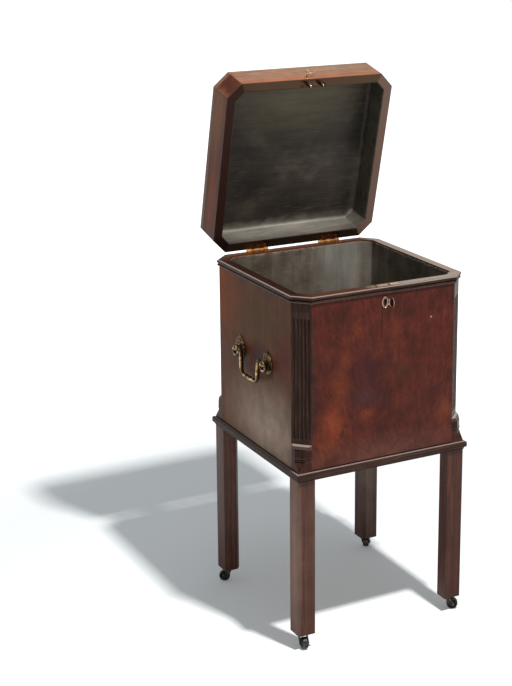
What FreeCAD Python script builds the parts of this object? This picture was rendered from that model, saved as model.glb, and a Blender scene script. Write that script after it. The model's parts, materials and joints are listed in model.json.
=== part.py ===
import FreeCAD, Part
import math
import os
from FreeCAD import Vector

# A cellarette: a canted, lead-lined bottle box with a box lid, on a stand with four square legs
# and brass castors. Millimetres, +Z up, +X to the sitter's right, -Y is the front.
# The pieces are built about the middle of the case. OFFSET_Y then puts the origin on the floor
# in the middle of the whole object, with the lid standing open.

# ---- driving dimensions -------------------------------------------------------------------
CASE_WIDTH = 366.0              # across the side walls
CASE_DEPTH = 360.0              # across the front and back walls
CASE_HEIGHT = 338.0             # stand top to rim
CANT = 28.0                     # each leg of the canted corner
WALL = 17.0                     # case and lid walls
FLOOR_BOARD = 12.0              # bottom board of the case
STAND_HEIGHT = 362.0            # floor to stand top
CASTOR_HEIGHT = 30.0            # floor to the underside of a leg
LEG_SIZE = 35.0                 # square section of a leg
LEG_CHAMFER = 7.0               # chamfer on the inner corner of a leg
RAIL_HEIGHT = 17.0
RAIL_WIDTH = 26.0
TENON_THICKNESS = 8.0
TENON_HEIGHT = 11.0
TENON_LENGTH = 15.0
STAND_MOULDING_OUT = 5.5        # how far the stand moulding stands proud
CASE_MOULDING_OUT = 4.5         # how far the rim moulding stands proud
CASE_MOULDING_HEIGHT = 12.5
CASE_MOULDING_DROP = 0.6        # rim down to the top of its moulding
LID_HEIGHT = 66.0               # rim of the lid to its top
LID_BOARD = 12.0                # top board of the lid
LID_OPEN = 76.0                 # degrees from closed, as the lid stands
LEAD = 1.2                      # lead sheet
LEAD_COVE = 8.0                 # radius dressed into the lid's inner edges
LEAD_SETBACK = 1.0              # rim down to the cut edge of the lead

FLUTE_COUNT = 5
FLUTE_PITCH = 7.2
FLUTE_RADIUS = 2.5
FLUTE_FOOT = 62.0               # stand top to the foot of the flutes
FLUTE_HEAD = 43.0               # rim down to the head of the flutes

BRACKET_HEIGHT = 52.0           # carved bracket under each fluted corner
BRACKET_LEDGE = 4.0
BRACKET_OVOLO = 6.0
BRACKET_STEP = 1.6
BRACKET_COVE = 3.4
BRACKET_NECK_CANT = 14.0        # chamfer left on the neck
BRACKET_NECK_TOP = 41.0
BRACKET_NECK_FOOT = 22.0
BRACKET_TONGUE = 3.0            # foot of the tongue above the stand top

HINGE_LENGTH = 48.0
HINGE_LEAF_WIDTH = 15.0
HINGE_LEAF = 1.6
HINGE_BARREL_RADIUS = 3.0
HINGE_PIN_RADIUS = 1.5
HINGE_SPACING = 165.0           # between the middles of the two hinges
HINGE_KNUCKLE_COUNT = 5
HINGE_SCREW_COUNT = 3
RIM_GAP = 0.6                   # lid rim over case rim when closed

LOCK_WIDTH = 70.0
LOCK_HEIGHT = 44.0
LOCK_SHEET = 1.2
LOCK_SETBACK = 9.5              # front face of the case to the line of the hooks
SELVEDGE_WIDTH = 13.0
SELVEDGE_SHEET = 1.6
HOOK_SPACING = 28.0
HOOK_THICKNESS = 3.0
HOOK_WIDTH = 7.0
HOOK_DROP = 18.0                # below the lid's rim
HOOK_EYE = 4.4
HOOK_EYE_WALL = 1.8             # metal left under the eye
BOLT_THROW = 6.0
BOLT_FINGER = 3.0
BOLT_BAR = 2.0
KEYHOLE_RADIUS = 2.6
KEYHOLE_DROP = 28.0             # rim down to the round of the keyhole
KEYHOLE_SLOT_WIDTH = 2.4
KEYHOLE_SLOT_LENGTH = 8.0
ESCUTCHEON_WIDTH = 13.0
ESCUTCHEON_HEIGHT = 23.0
ESCUTCHEON_SHEET = 1.2
COVER_SHEET = 1.0
COVER_OPEN = 100.0              # degrees from closed, as the cover stands
COVER_PIN_RADIUS = 0.6
COVER_KNUCKLE_RADIUS = 1.2
COVER_KNUCKLE_LENGTH = 4.0

HANDLE_SPACING = 116.0          # between the two pommels of a handle
HANDLE_HEIGHT = 182.0           # stand top to the pommels
HANDLE_OUT = 10.5               # case side to the bail's axis
BAIL_RADIUS = 2.9
BAIL_PIN_RADIUS = 2.3
BAIL_GRIP_RADIUS = 3.7
BAIL_GRIP_LENGTH = 30.0
BAIL_DROP = 45.0                # bail's axis down to its grip
BAIL_LOOP_OUT = 10.5            # reach of each neck beyond its pommel
BAIL_LOOP_DROP = 13.0           # bail's axis down to the foot of that neck
BAIL_NECK_IN = 8.0              # pommel to the neck's inner foot, towards the middle
BAIL_ARCH_RISE = 2.5            # bail's axis up to the arch of the neck
BAIL_ARCH_IN = 13.0             # pommel to the near end of that arch
BAIL_ARCH_SPAN = 7.5
BAIL_ARM_IN = 23.0              # pommel to the hanging arm
BAIL_SHOULDER_IN = 38.0         # pommel to where the arm has become the grip
BAIL_SHOULDER_RISE = 5.0        # grip up to where the arm begins to turn
BAIL_BENDS = (4.2, 6.4, 6.0, 4.5, 4.2, 9.0, 16.0)    # radii, from the eye to the grip
POMMEL_RADIUS = 6.6
POMMEL_HALF_LENGTH = 4.2        # half the length of the eye along the bail's axis
POMMEL_STEM_RADIUS = 4.0
POMMEL_BOLT_RADIUS = 2.5
POMMEL_NUT_RADIUS = 7.0
POMMEL_NUT = 2.4
PLATE_RADIUS = 15.0
PLATE_LOBE_RADIUS = 5.5
PLATE_LOBE_OUT = 14.0
PLATE_LOBE_COUNT = 8
PLATE_STRETCH = 3.0             # extra reach of the plate up and down
PLATE_SHEET = 1.6
PLATE_DOME = 3.2                # height of the plate's domed middle over its rim
PLATE_DOME_RADIUS = 12.0
POMMEL_COLLAR = 1.0             # from the dome to where the ball's neck may begin

PULL_OFFSET = -12.0             # stud of the lid pull, from the middle
PULL_RISE = 6.0                 # lid rim to the stud
PULL_ROSE_RADIUS = 4.0
PULL_ROSE = 1.4
PULL_SHAFT_RADIUS = 1.5
PULL_LENGTH = 15.0              # stud, face to the middle of its knob
PULL_KNOB_RADIUS = 2.5
PULL_DROP_OUT = 9.0             # face to the plane of the drop
PULL_DROP_LENGTH = 21.0         # stud to the middle of the drop's tip
PULL_DROP_THICKNESS = 2.4       # through its eye
PULL_EYE_RADIUS = 3.4
PULL_NECK_RADIUS = 1.2
PULL_SWELL_RADIUS = 2.1
PULL_SWELL_OUT = 8.0            # stud to the thickest part of the drop
PULL_WAIST_RADIUS = 1.0
PULL_TIP_RADIUS = 1.5
PULL_TURN = 15.0                # degrees from the rim's line, as the drop lies

WHEEL_RADIUS = 11.5
WHEEL_WIDTH = 13.0
AXLE_RADIUS = 1.6
FORK_SHEET = 1.8
FORK_WIDTH = 9.0
FORK_CROWN = 3.4
CASTOR_TRAIL = 10.0
CASTOR_PLATE_RADIUS = 15.0
CASTOR_PLATE = 2.2
PINTLE_RADIUS = 2.8
PINTLE_HEAD_RADIUS = 4.2
PINTLE_HEAD = 1.2
CASTOR_SCREW_COUNT = 3
CASTOR_SCREW_CIRCLE = 11.0
CASTOR_HEADINGS = {"front_left": 168.0, "front_right": 240.0, "back_left": 60.0, "back_right": 320.0}

SCREW_RADIUS = 1.3
SCREW_HEAD_RADIUS = 2.6
SCREW_LENGTH = 13.0
FIXING_SCREW_RADIUS = 2.2
FIXING_SCREW_LENGTH = 24.0

# ---- clearances ----------------------------------------------------------------------------
HOLE_CLEARANCE = 0.1            # screw or tenon in its hole, each side
RUNNING_FIT = 0.06              # pin in a turning bore, on the radius
SLIDE_CLEARANCE = 0.4           # bolt in the lock, hook in its slot
KNUCKLE_GAP = 0.35              # between hinge knuckles
BARREL_CLEARANCE = 0.4          # hinge barrel to the back of the case
WHEEL_GAP = 0.5                 # wheel to each fork arm
SWIVEL_GAP = 0.35               # castor plate to fork crown
PULL_GAP = 0.35
COVER_GAP = 0.4                 # escutcheon to its cover and the cover's knuckle

# ---- places worked out from the dimensions ---------------------------------------------------
HALF_WIDTH = CASE_WIDTH / 2
HALF_DEPTH = CASE_DEPTH / 2
RIM = STAND_HEIGHT + CASE_HEIGHT
RAIL_FOOT = STAND_HEIGHT - RAIL_HEIGHT
HINGE_Y = HALF_DEPTH + HINGE_BARREL_RADIUS + BARREL_CLEARANCE
HINGE_Z = RIM + RIM_GAP / 2
LID_FOOT = RIM + RIM_GAP
LID_TOP = LID_FOOT + LID_HEIGHT
LOCK_Y = -HALF_DEPTH + LOCK_SETBACK
LOCK_FRONT_Y = LOCK_Y - HOOK_WIDTH / 2 - 2 * SLIDE_CLEARANCE - LOCK_SHEET
KEYHOLE_Z = RIM - KEYHOLE_DROP
HANDLE_Z = STAND_HEIGHT + HANDLE_HEIGHT
HOOK_EYE_Z = LID_FOOT - HOOK_DROP + HOOK_EYE / 2 + HOOK_EYE_WALL
PULL_Z = LID_FOOT + PULL_RISE
COVER_PIN_X = ESCUTCHEON_WIDTH / 2 + COVER_KNUCKLE_RADIUS + COVER_GAP
COVER_PIN_Y = -HALF_DEPTH - ESCUTCHEON_SHEET - COVER_GAP - COVER_SHEET / 2


def lid_point(y, z):
    """Where a point of the closed lid lies, in Y and Z, once the lid stands open."""
    turn = math.radians(LID_OPEN)
    back, up = y - HINGE_Y, z - HINGE_Z
    new_y = HINGE_Y + back * math.cos(turn) + up * math.sin(turn)
    new_z = HINGE_Z - back * math.sin(turn) + up * math.cos(turn)
    return new_y, new_z


def cover_reach():
    """How far forward of its pin the open keyhole cover stands."""
    turn = math.radians(COVER_OPEN)
    length = COVER_PIN_X + ESCUTCHEON_WIDTH / 2
    return length * math.sin(turn) + COVER_SHEET / 2 * abs(math.cos(turn))


BACK_MOST = lid_point(HALF_DEPTH, LID_TOP)[0]
FRONT_MOST = min(COVER_PIN_Y - cover_reach(), -HALF_DEPTH - STAND_MOULDING_OUT)
OFFSET_Y = -(BACK_MOST + FRONT_MOST) / 2


# ---- small building blocks -----------------------------------------------------------------
def box(low, high):
    """A block between two corners."""
    size = [b - a for a, b in zip(low, high)]
    return Part.makeBox(size[0], size[1], size[2], Vector(*low))


def rod(start, end, radius):
    """A round bar from one point to another."""
    start, end = Vector(*start), Vector(*end)
    return Part.makeCylinder(radius, (end - start).Length, start, end - start)


def prism(points, low, high):
    """A flat outline in X and Y, raised from one height to another."""
    corners = [Vector(x, y, low) for x, y in points]
    face = Part.Face(Part.makePolygon(corners + corners[:1]))
    return face.extrude(Vector(0, 0, high - low))


def octagon(inset):
    """The canted outline of the case, moved in by an inset, from the front left corner round."""
    wide, deep = HALF_WIDTH - inset, HALF_DEPTH - inset
    cut = CANT - inset * (2 - math.sqrt(2))
    return [(-wide + cut, -deep), (wide - cut, -deep), (wide, -deep + cut), (wide, deep - cut),
            (wide - cut, deep), (-wide + cut, deep), (-wide, deep - cut), (-wide, -deep + cut)]


def rectangle(inset):
    """The square-cornered outline of the stand, moved in by an inset."""
    wide, deep = HALF_WIDTH - inset, HALF_DEPTH - inset
    return [(-wide, -deep), (wide, -deep), (wide, deep), (-wide, deep)]


def side_of_ring(outer, inner, side, low, high):
    """One mitred side of a ring between two outlines with the same number of corners."""
    after = (side + 1) % len(outer)
    return prism([outer[side], outer[after], inner[after], inner[side]], low, high)


def moulding_strip(outline, reach_outline, side, edges):
    """A mitred strip along one side. Its edges are drawn in reach from the face and height."""
    after = (side + 1) % len(outline)
    start, end = Vector(*outline[side], 0), Vector(*outline[after], 0)
    along = (end - start).normalize()
    out = Vector(along.y, -along.x, 0)
    overrun = 2 * (Vector(*reach_outline[side], 0) - start).Length
    first = start - along * overrun
    shape = [edge(lambda reach, z: first + out * reach + Vector(0, 0, z)) for edge in edges]
    profile = Part.Face(Part.Wire(shape))
    strip = profile.extrude(along * ((end - start).Length + 2 * overrun))
    box_of = strip.BoundBox
    wedge = side_of_ring(outline, reach_outline, side, box_of.ZMin - 1, box_of.ZMax + 1)
    return strip.common(wedge)


def line(start, end):
    """A straight edge of a moulding profile."""
    return lambda place: Part.LineSegment(place(*start), place(*end)).toShape()


def arc(start, middle, end):
    """A round edge of a moulding profile, through three points."""
    return lambda place: Part.Arc(place(*start), place(*middle), place(*end)).toShape()


def other_side(shape):
    """The same piece on the other side of the case, turned half round about the middle."""
    shape = shape.copy()
    shape.rotate(Vector(0, 0, 0), Vector(0, 0, 1), 180)
    return shape


def screw(place, inward, radius, head_radius, length, extra=0.0):
    """A countersunk wood screw. Its head is flush at place, and extra enlarges it for a hole."""
    place, inward = Vector(*place), Vector(*inward)
    head = head_radius - radius
    shank = Part.makeCylinder(radius + extra, length + extra, place, inward)
    cone = Part.makeCone(head_radius + extra, radius + extra, head, place, inward)
    return shank.fuse(cone)


def cut_all(shape, tools):
    """Takes each tool away from a piece."""
    for tool in tools:
        shape = shape.cut(tool)
    return shape


def rounded_route(points, radii):
    """Straight runs joined by tangent arcs, one radius for each inner point."""
    points = [Vector(*p) for p in points]
    edges, at = [], points[0]
    for before, corner, after, radius in zip(points, points[1:], points[2:], radii):
        back, ahead = (before - corner).normalize(), (after - corner).normalize()
        half = back.getAngle(ahead) / 2
        reach = radius / math.tan(half)
        centre = corner + (back + ahead).normalize() * (radius / math.sin(half))
        middle = centre + (corner - centre).normalize() * radius
        first, last = corner + back * reach, corner + ahead * reach
        edges.append(Part.LineSegment(at, first).toShape())
        edges.append(Part.Arc(first, middle, last).toShape())
        at = last
    edges.append(Part.LineSegment(at, points[-1]).toShape())
    return Part.Wire(edges)


def tube(route, radius):
    """A round bar along a route."""
    start = route.Edges[0]
    circle = Part.Circle(start.valueAt(start.FirstParameter), start.tangentAt(0), radius)
    return route.makePipeShell([Part.Wire([circle.toShape()])], True, False)


# ---- stand -----------------------------------------------------------------------------------
def leg_middle(side_x, side_y):
    """The middle of a leg, for the signs of its corner."""
    return side_x * (HALF_WIDTH - LEG_SIZE / 2), side_y * (HALF_DEPTH - LEG_SIZE / 2)


def tenons(extra):
    """The tenons of all four rails, enlarged by extra for their mortices."""
    inner_x, inner_y = HALF_WIDTH - LEG_SIZE, HALF_DEPTH - LEG_SIZE
    set_in = (RAIL_WIDTH - TENON_THICKNESS) / 2
    low = RAIL_FOOT + (RAIL_HEIGHT - TENON_HEIGHT) / 2 - extra
    high = low + TENON_HEIGHT + 2 * extra
    out_x, out_y = HALF_WIDTH - set_in + extra, HALF_DEPTH - set_in + extra
    thick = TENON_THICKNESS + 2 * extra
    reach_x, reach_y = inner_x + TENON_LENGTH + extra, inner_y + TENON_LENGTH + extra
    return {
        "front": box((-reach_x, -out_y, low), (reach_x, -out_y + thick, high)),
        "back": box((-reach_x, out_y - thick, low), (reach_x, out_y, high)),
        "left": box((-out_x, -reach_y, low), (-out_x + thick, reach_y, high)),
        "right": box((out_x - thick, -reach_y, low), (out_x, reach_y, high)),
    }


def make_leg(side_x, side_y, castor_holes):
    """A square leg with its inner corner chamfered, morticed for two rails."""
    x, y = leg_middle(side_x, side_y)
    half = LEG_SIZE / 2
    outline = [(half, half), (-half, half), (-half, -half + LEG_CHAMFER),
               (-half + LEG_CHAMFER, -half), (half, -half)]
    outline = [(x + side_x * px, y + side_y * py) for px, py in outline]
    leg = prism(outline, CASTOR_HEIGHT, STAND_HEIGHT)
    return cut_all(leg, list(tenons(HOLE_CLEARANCE).values()) + castor_holes)


def make_rail(name, fixing_holes):
    """A stand rail between two legs, with its tenons."""
    inner_x, inner_y = HALF_WIDTH - LEG_SIZE, HALF_DEPTH - LEG_SIZE
    spans = {
        "front": ((-inner_x, -HALF_DEPTH), (inner_x, -HALF_DEPTH + RAIL_WIDTH)),
        "back": ((-inner_x, HALF_DEPTH - RAIL_WIDTH), (inner_x, HALF_DEPTH)),
        "left": ((-HALF_WIDTH, -inner_y), (-HALF_WIDTH + RAIL_WIDTH, inner_y)),
        "right": ((HALF_WIDTH - RAIL_WIDTH, -inner_y), (HALF_WIDTH, inner_y)),
    }
    low, high = spans[name]
    bar = box((*low, RAIL_FOOT), (*high, STAND_HEIGHT))
    return cut_all(bar.fuse(tenons(0.0)[name]).removeSplitter(), fixing_holes)


def stand_moulding():
    """Four mitred strips with a rounded nose and a hollow beneath it."""
    out, top, foot = STAND_MOULDING_OUT, STAND_HEIGHT, RAIL_FOOT
    nose = 0.6 * out
    hollow = 0.35 * RAIL_HEIGHT
    lip = 0.2 * out
    slope = math.sqrt(0.5)
    edges = [
        line((0, foot), (0, top)),
        line((0, top), (out - nose, top)),
        arc((out - nose, top), (out - nose + nose * slope, top - nose + nose * slope),
            (out, top - nose)),
        line((out, top - nose), (out, foot + hollow)),
        arc((out, foot + hollow), (lip + 0.3 * (out - lip), foot + 0.7 * hollow), (lip, foot)),
        line((lip, foot), (0, foot)),
    ]
    outline, reach = rectangle(0), rectangle(-2 * out)
    return [moulding_strip(outline, reach, side, edges) for side in range(4)]


# ---- castors ---------------------------------------------------------------------------------
def castor_screws(x, y, extra):
    """The screws that hold one castor plate to its leg."""
    made = []
    for turn in range(CASTOR_SCREW_COUNT):
        angle = math.radians(90 + turn * 360 / CASTOR_SCREW_COUNT)
        place = (x + CASTOR_SCREW_CIRCLE * math.cos(angle),
                 y + CASTOR_SCREW_CIRCLE * math.sin(angle), CASTOR_HEIGHT - CASTOR_PLATE)
        made.append(screw(place, (0, 0, 1), SCREW_RADIUS, SCREW_HEAD_RADIUS, SCREW_LENGTH, extra))
    return made


def crown_top():
    """The height of the top of a fork."""
    return CASTOR_HEIGHT - CASTOR_PLATE - SWIVEL_GAP


def make_castor_plate(x, y):
    """A round plate with the headed pintle that the fork turns on."""
    low = CASTOR_HEIGHT - CASTOR_PLATE
    foot = crown_top() - FORK_CROWN - SWIVEL_GAP
    plate = rod((x, y, low), (x, y, CASTOR_HEIGHT), CASTOR_PLATE_RADIUS)
    pintle = rod((x, y, foot), (x, y, low), PINTLE_RADIUS)
    head = rod((x, y, foot - PINTLE_HEAD), (x, y, foot), PINTLE_HEAD_RADIUS)
    whole = plate.fuse([pintle, head]).removeSplitter()
    return cut_all(whole, castor_screws(x, y, HOLE_CLEARANCE))


def turned(shape, x, y, heading):
    """A castor piece, drawn at the origin and trailing along +Y, set under its leg."""
    shape = shape.copy()
    shape.rotate(Vector(0, 0, 0), Vector(0, 0, 1), heading)
    shape.translate(Vector(x, y, 0))
    return shape


def make_fork():
    """A cast fork: a bored crown and two arms that reach down to the axle."""
    top = crown_top()
    inside = WHEEL_WIDTH / 2 + WHEEL_GAP
    outside = inside + FORK_SHEET
    half = FORK_WIDTH / 2
    crown = box((-outside, -half, top - FORK_CROWN), (outside, half, top))
    arm_points = [(-half, top), (half, top), (CASTOR_TRAIL + half, WHEEL_RADIUS),
                  (CASTOR_TRAIL, WHEEL_RADIUS - half), (CASTOR_TRAIL - half, WHEEL_RADIUS)]
    arms = []
    for x in (inside, -outside):
        corners = [Vector(x, y, z) for y, z in arm_points]
        face = Part.Face(Part.makePolygon(corners + corners[:1]))
        arms.append(face.extrude(Vector(FORK_SHEET, 0, 0)))
    fork = crown.fuse(arms).removeSplitter()
    pintle_hole = rod((0, 0, 0), (0, 0, top + 1), PINTLE_RADIUS + RUNNING_FIT)
    axle_hole = rod((-outside - 1, CASTOR_TRAIL, WHEEL_RADIUS),
                    (outside + 1, CASTOR_TRAIL, WHEEL_RADIUS), AXLE_RADIUS)
    return cut_all(fork, [pintle_hole, axle_hole])


def make_axle():
    """The riveted axle of a castor wheel."""
    reach = WHEEL_WIDTH / 2 + WHEEL_GAP + FORK_SHEET
    rivet = 1.0
    shaft = rod((-reach, CASTOR_TRAIL, WHEEL_RADIUS), (reach, CASTOR_TRAIL, WHEEL_RADIUS),
                AXLE_RADIUS)
    heads = [rod((side * reach, CASTOR_TRAIL, WHEEL_RADIUS),
                 (side * (reach + rivet), CASTOR_TRAIL, WHEEL_RADIUS), AXLE_RADIUS + rivet)
             for side in (-1, 1)]
    return shaft.fuse(heads).removeSplitter()


def make_wheel():
    """A turned brass wheel with rounded rims and a bore that runs on the axle."""
    half = WHEEL_WIDTH / 2
    ease = 0.2 * WHEEL_WIDTH
    wheel = rod((-half, CASTOR_TRAIL, WHEEL_RADIUS), (half, CASTOR_TRAIL, WHEEL_RADIUS),
                WHEEL_RADIUS)
    rims = [edge for edge in wheel.Edges if isinstance(edge.Curve, Part.Circle)]
    wheel = wheel.makeFillet(ease, rims)
    bore = rod((-half - 1, CASTOR_TRAIL, WHEEL_RADIUS), (half + 1, CASTOR_TRAIL, WHEEL_RADIUS),
               AXLE_RADIUS + RUNNING_FIT)
    return wheel.cut(bore)


# ---- case ------------------------------------------------------------------------------------
def flutes(side):
    """The ball-ended flutes of one canted corner."""
    ring = octagon(0)
    start, end = Vector(*ring[side], 0), Vector(*ring[(side + 1) % 8], 0)
    along, middle = (end - start).normalize(), (start + end) / 2
    low, high = STAND_HEIGHT + FLUTE_FOOT + FLUTE_RADIUS, RIM - FLUTE_HEAD - FLUTE_RADIUS
    made = []
    for number in range(FLUTE_COUNT):
        place = middle + along * ((number - (FLUTE_COUNT - 1) / 2) * FLUTE_PITCH)
        made.append(rod((place.x, place.y, low), (place.x, place.y, high), FLUTE_RADIUS))
        for z in (low, high):
            made.append(Part.makeSphere(FLUTE_RADIUS, Vector(place.x, place.y, z)))
    return made


def case_wall(side, cuts):
    """One of the eight mitred uprights of the case, front first and then to the right."""
    wall = side_of_ring(octagon(0), octagon(WALL), side, STAND_HEIGHT, RIM)
    return cut_all(wall, cuts)


def make_bracket(side):
    """The carved bracket that brings a canted corner out to a square foot."""
    ring = octagon(0)
    start, end = Vector(*ring[side], 0), Vector(*ring[(side + 1) % 8], 0)
    along, middle = (end - start).normalize(), (start + end) / 2
    out = Vector(along.y, -along.x, 0)
    shrink = math.sqrt(0.5)

    def place(cant, height):
        return middle + out * ((CANT - cant) * shrink) + Vector(0, 0, STAND_HEIGHT + height)

    top = BRACKET_HEIGHT
    ledge = CANT - BRACKET_LEDGE
    ovolo = ledge - BRACKET_OVOLO
    step = ovolo - BRACKET_STEP
    waist = BRACKET_OVOLO + BRACKET_COVE
    edges = [
        line((CANT, 0), (CANT, top)),
        line((CANT, top), (ledge, top)),
        arc((ledge, top), (ledge - shrink * BRACKET_OVOLO, top - (1 - shrink) * BRACKET_OVOLO),
            (ovolo, top - BRACKET_OVOLO)),
        line((ovolo, top - BRACKET_OVOLO), (step, top - BRACKET_OVOLO)),
        line((step, top - BRACKET_OVOLO), (step, top - waist)),
        line((step, top - waist), (BRACKET_NECK_CANT, BRACKET_NECK_TOP)),
        line((BRACKET_NECK_CANT, BRACKET_NECK_TOP), (BRACKET_NECK_CANT, BRACKET_NECK_FOOT)),
        arc((BRACKET_NECK_CANT, BRACKET_NECK_FOOT),
            (0.4 * BRACKET_NECK_CANT, 0.5 * BRACKET_NECK_FOOT), (0, BRACKET_TONGUE)),
        line((0, BRACKET_TONGUE), (0, 0)),
        line((0, 0), (CANT, 0)),
    ]
    profile = Part.Face(Part.Wire([edge(place) for edge in edges]))
    block = profile.extrude(along * (2 * CANT))
    block.translate(along * -CANT)
    corner = (math.copysign(HALF_WIDTH, middle.x), math.copysign(HALF_DEPTH, middle.y))
    triangle = [ring[side], corner, ring[(side + 1) % 8]]
    return block.common(prism(triangle, STAND_HEIGHT, STAND_HEIGHT + top + 1))


def case_moulding():
    """Seven mitred strips under the rim, two beads with a quirk between. The back has none."""
    out = CASE_MOULDING_OUT
    top = RIM - CASE_MOULDING_DROP
    foot = top - CASE_MOULDING_HEIGHT
    bead = 0.28 * CASE_MOULDING_HEIGHT
    small = 0.2 * CASE_MOULDING_HEIGHT
    quirk = top - 2 * bead
    edges = [
        line((0, foot), (0, top)),
        line((0, top), (out - bead, top)),
        arc((out - bead, top), (out, top - bead), (out - bead, quirk)),
        line((out - bead, quirk), (out - bead, foot + 2 * small)),
        line((out - bead, foot + 2 * small), (out - bead + 0.2, foot + 2 * small)),
        arc((out - bead + 0.2, foot + 2 * small), (out - bead + 0.2 + small, foot + small),
            (out - bead + 0.2, foot)),
        line((out - bead + 0.2, foot), (0, foot)),
    ]
    outline, reach = octagon(0), octagon(-2 * out)
    back = 4
    return [moulding_strip(outline, reach, side, edges) for side in range(8) if side != back]


def case_lining():
    """A lead tray that covers the inside of the case."""
    low, high = STAND_HEIGHT + FLOOR_BOARD, RIM - LEAD_SETBACK
    outside = prism(octagon(WALL), low, high)
    inside = prism(octagon(WALL + LEAD), low + LEAD, high + 1)
    return outside.cut(inside)


# ---- lid, drawn closed -----------------------------------------------------------------------
def lid_wall(side, cuts):
    """One of the eight mitred sides of the lid."""
    wall = side_of_ring(octagon(0), octagon(WALL), side, LID_FOOT, LID_TOP - LID_BOARD)
    return cut_all(wall, cuts)


def make_lid_top():
    """The top board, its upper edge eased."""
    board = prism(octagon(0), LID_TOP - LID_BOARD, LID_TOP)
    top_edges = [e for e in board.Edges if e.BoundBox.ZMin > LID_TOP - 0.01]
    return board.makeFillet(min(1.5, 0.2 * LID_BOARD), top_edges)


def lid_lining():
    """A lead tray in the lid, its inner edges dressed to a cove."""
    low, high = LID_FOOT + LEAD_SETBACK, LID_TOP - LID_BOARD
    outside = prism(octagon(WALL), low, high)
    hollow = prism(octagon(WALL + LEAD), low - 2 * LEAD_COVE, high - LEAD)
    far_edges = [e for e in hollow.Edges if e.BoundBox.ZMin > high - LEAD - 0.01]
    return outside.cut(hollow.makeFillet(LEAD_COVE, far_edges))


# ---- hinges ----------------------------------------------------------------------------------
def hinge_middles():
    """The middle of each hinge, along the back."""
    return (-HINGE_SPACING / 2, HINGE_SPACING / 2)


def hinge_half(middle, plate_low, first):
    """A hinge leaf with every second knuckle, counted from the first."""
    start = middle - HINGE_LENGTH / 2
    step = HINGE_LENGTH / HINGE_KNUCKLE_COUNT
    leaf = box((start, HALF_DEPTH - HINGE_LEAF_WIDTH, plate_low),
               (start + HINGE_LENGTH, HALF_DEPTH, plate_low + HINGE_LEAF))
    knuckles = []
    for number in range(first, HINGE_KNUCKLE_COUNT, 2):
        low = start + number * step + KNUCKLE_GAP / 2
        high = start + (number + 1) * step - KNUCKLE_GAP / 2
        knuckles.append(rod((low, HINGE_Y, HINGE_Z), (high, HINGE_Y, HINGE_Z),
                            HINGE_BARREL_RADIUS))
        knuckles.append(box((low, HALF_DEPTH, plate_low), (high, HINGE_Y, plate_low + HINGE_LEAF)))
    bore = rod((start - 1, HINGE_Y, HINGE_Z), (start + HINGE_LENGTH + 1, HINGE_Y, HINGE_Z),
               HINGE_PIN_RADIUS + (RUNNING_FIT if first else 0))
    return leaf.fuse(knuckles).removeSplitter().cut(bore)


def leaf_recess(middle, low, high):
    """The shallow bed cut in a rim for one hinge leaf."""
    start = middle - HINGE_LENGTH / 2
    return box((start, HALF_DEPTH - HINGE_LEAF_WIDTH, low),
               (start + HINGE_LENGTH, HALF_DEPTH + 1, high))


def hinge_screws(surface, inward, extra):
    """The screws of both hinges, from one surface, in the direction inward."""
    made = []
    for middle in hinge_middles():
        for number in range(HINGE_SCREW_COUNT):
            x = middle + (number - (HINGE_SCREW_COUNT - 1) / 2) * HINGE_LENGTH / HINGE_SCREW_COUNT
            place = (x, HALF_DEPTH - 0.55 * HINGE_LEAF_WIDTH, surface)
            made.append(screw(place, (0, 0, inward), SCREW_RADIUS, SCREW_HEAD_RADIUS,
                              SCREW_LENGTH, extra))
    return made


# ---- lock ------------------------------------------------------------------------------------
def keyhole(low_y, high_y, extra):
    """A round hole over a tapering slot, between two depths."""
    hole = rod((0, low_y, KEYHOLE_Z), (0, high_y, KEYHOLE_Z), KEYHOLE_RADIUS + extra)
    half = KEYHOLE_SLOT_WIDTH / 2 + extra
    slot = box((-half, low_y, KEYHOLE_Z - KEYHOLE_SLOT_LENGTH - extra),
               (half, high_y, KEYHOLE_Z))
    return hole.fuse(slot)


def hook_slots(extra):
    """The space for the two hooks, from the rim down into the lock."""
    half_x, half_y = HOOK_THICKNESS / 2 + extra, HOOK_WIDTH / 2 + extra
    return [box((x - half_x, LOCK_Y - half_y, LID_FOOT - HOOK_DROP - 2 * extra),
                (x + half_x, LOCK_Y + half_y, LID_FOOT + 1))
            for x in (-HOOK_SPACING / 2, HOOK_SPACING / 2)]


def lock_outline():
    """The corners of the lock's case."""
    top = RIM - SELVEDGE_SHEET
    low = (-LOCK_WIDTH / 2, LOCK_FRONT_Y, top - LOCK_HEIGHT)
    high = (LOCK_WIDTH / 2, -HALF_DEPTH + WALL, top)
    return low, high


def make_lock_case():
    """The sheet brass case of the lock, open at the top, with a shelf for the bolt."""
    low, high = lock_outline()
    inner_low = tuple(value + LOCK_SHEET for value in low)
    inner_high = (high[0] - LOCK_SHEET, high[1] - LOCK_SHEET, high[2] + 1)
    shell = box(low, high).cut(box(inner_low, inner_high))
    shelf_top = HOOK_EYE_Z - BOLT_FINGER / 2 - RUNNING_FIT
    shelf = box((low[0], bolt_bar_y()[0], shelf_top - LOCK_SHEET),
                (high[0], high[1], shelf_top))
    return shell.fuse(shelf).removeSplitter().cut(keyhole(low[1] - 1, inner_low[1] + 1, 0.0))


def make_selvedge():
    """The lock's top plate, let into the rim, with a slot for each hook."""
    half = SELVEDGE_WIDTH / 2
    plate = box((-LOCK_WIDTH / 2, LOCK_Y - half, RIM - SELVEDGE_SHEET),
                (LOCK_WIDTH / 2, LOCK_Y + half, RIM))
    return cut_all(plate, hook_slots(2 * SLIDE_CLEARANCE))


def bolt_bar_y():
    """The front and back of the bolt's bar, behind the hooks."""
    front = LOCK_Y + HOOK_WIDTH / 2 + SLIDE_CLEARANCE
    return front, front + BOLT_BAR


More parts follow.
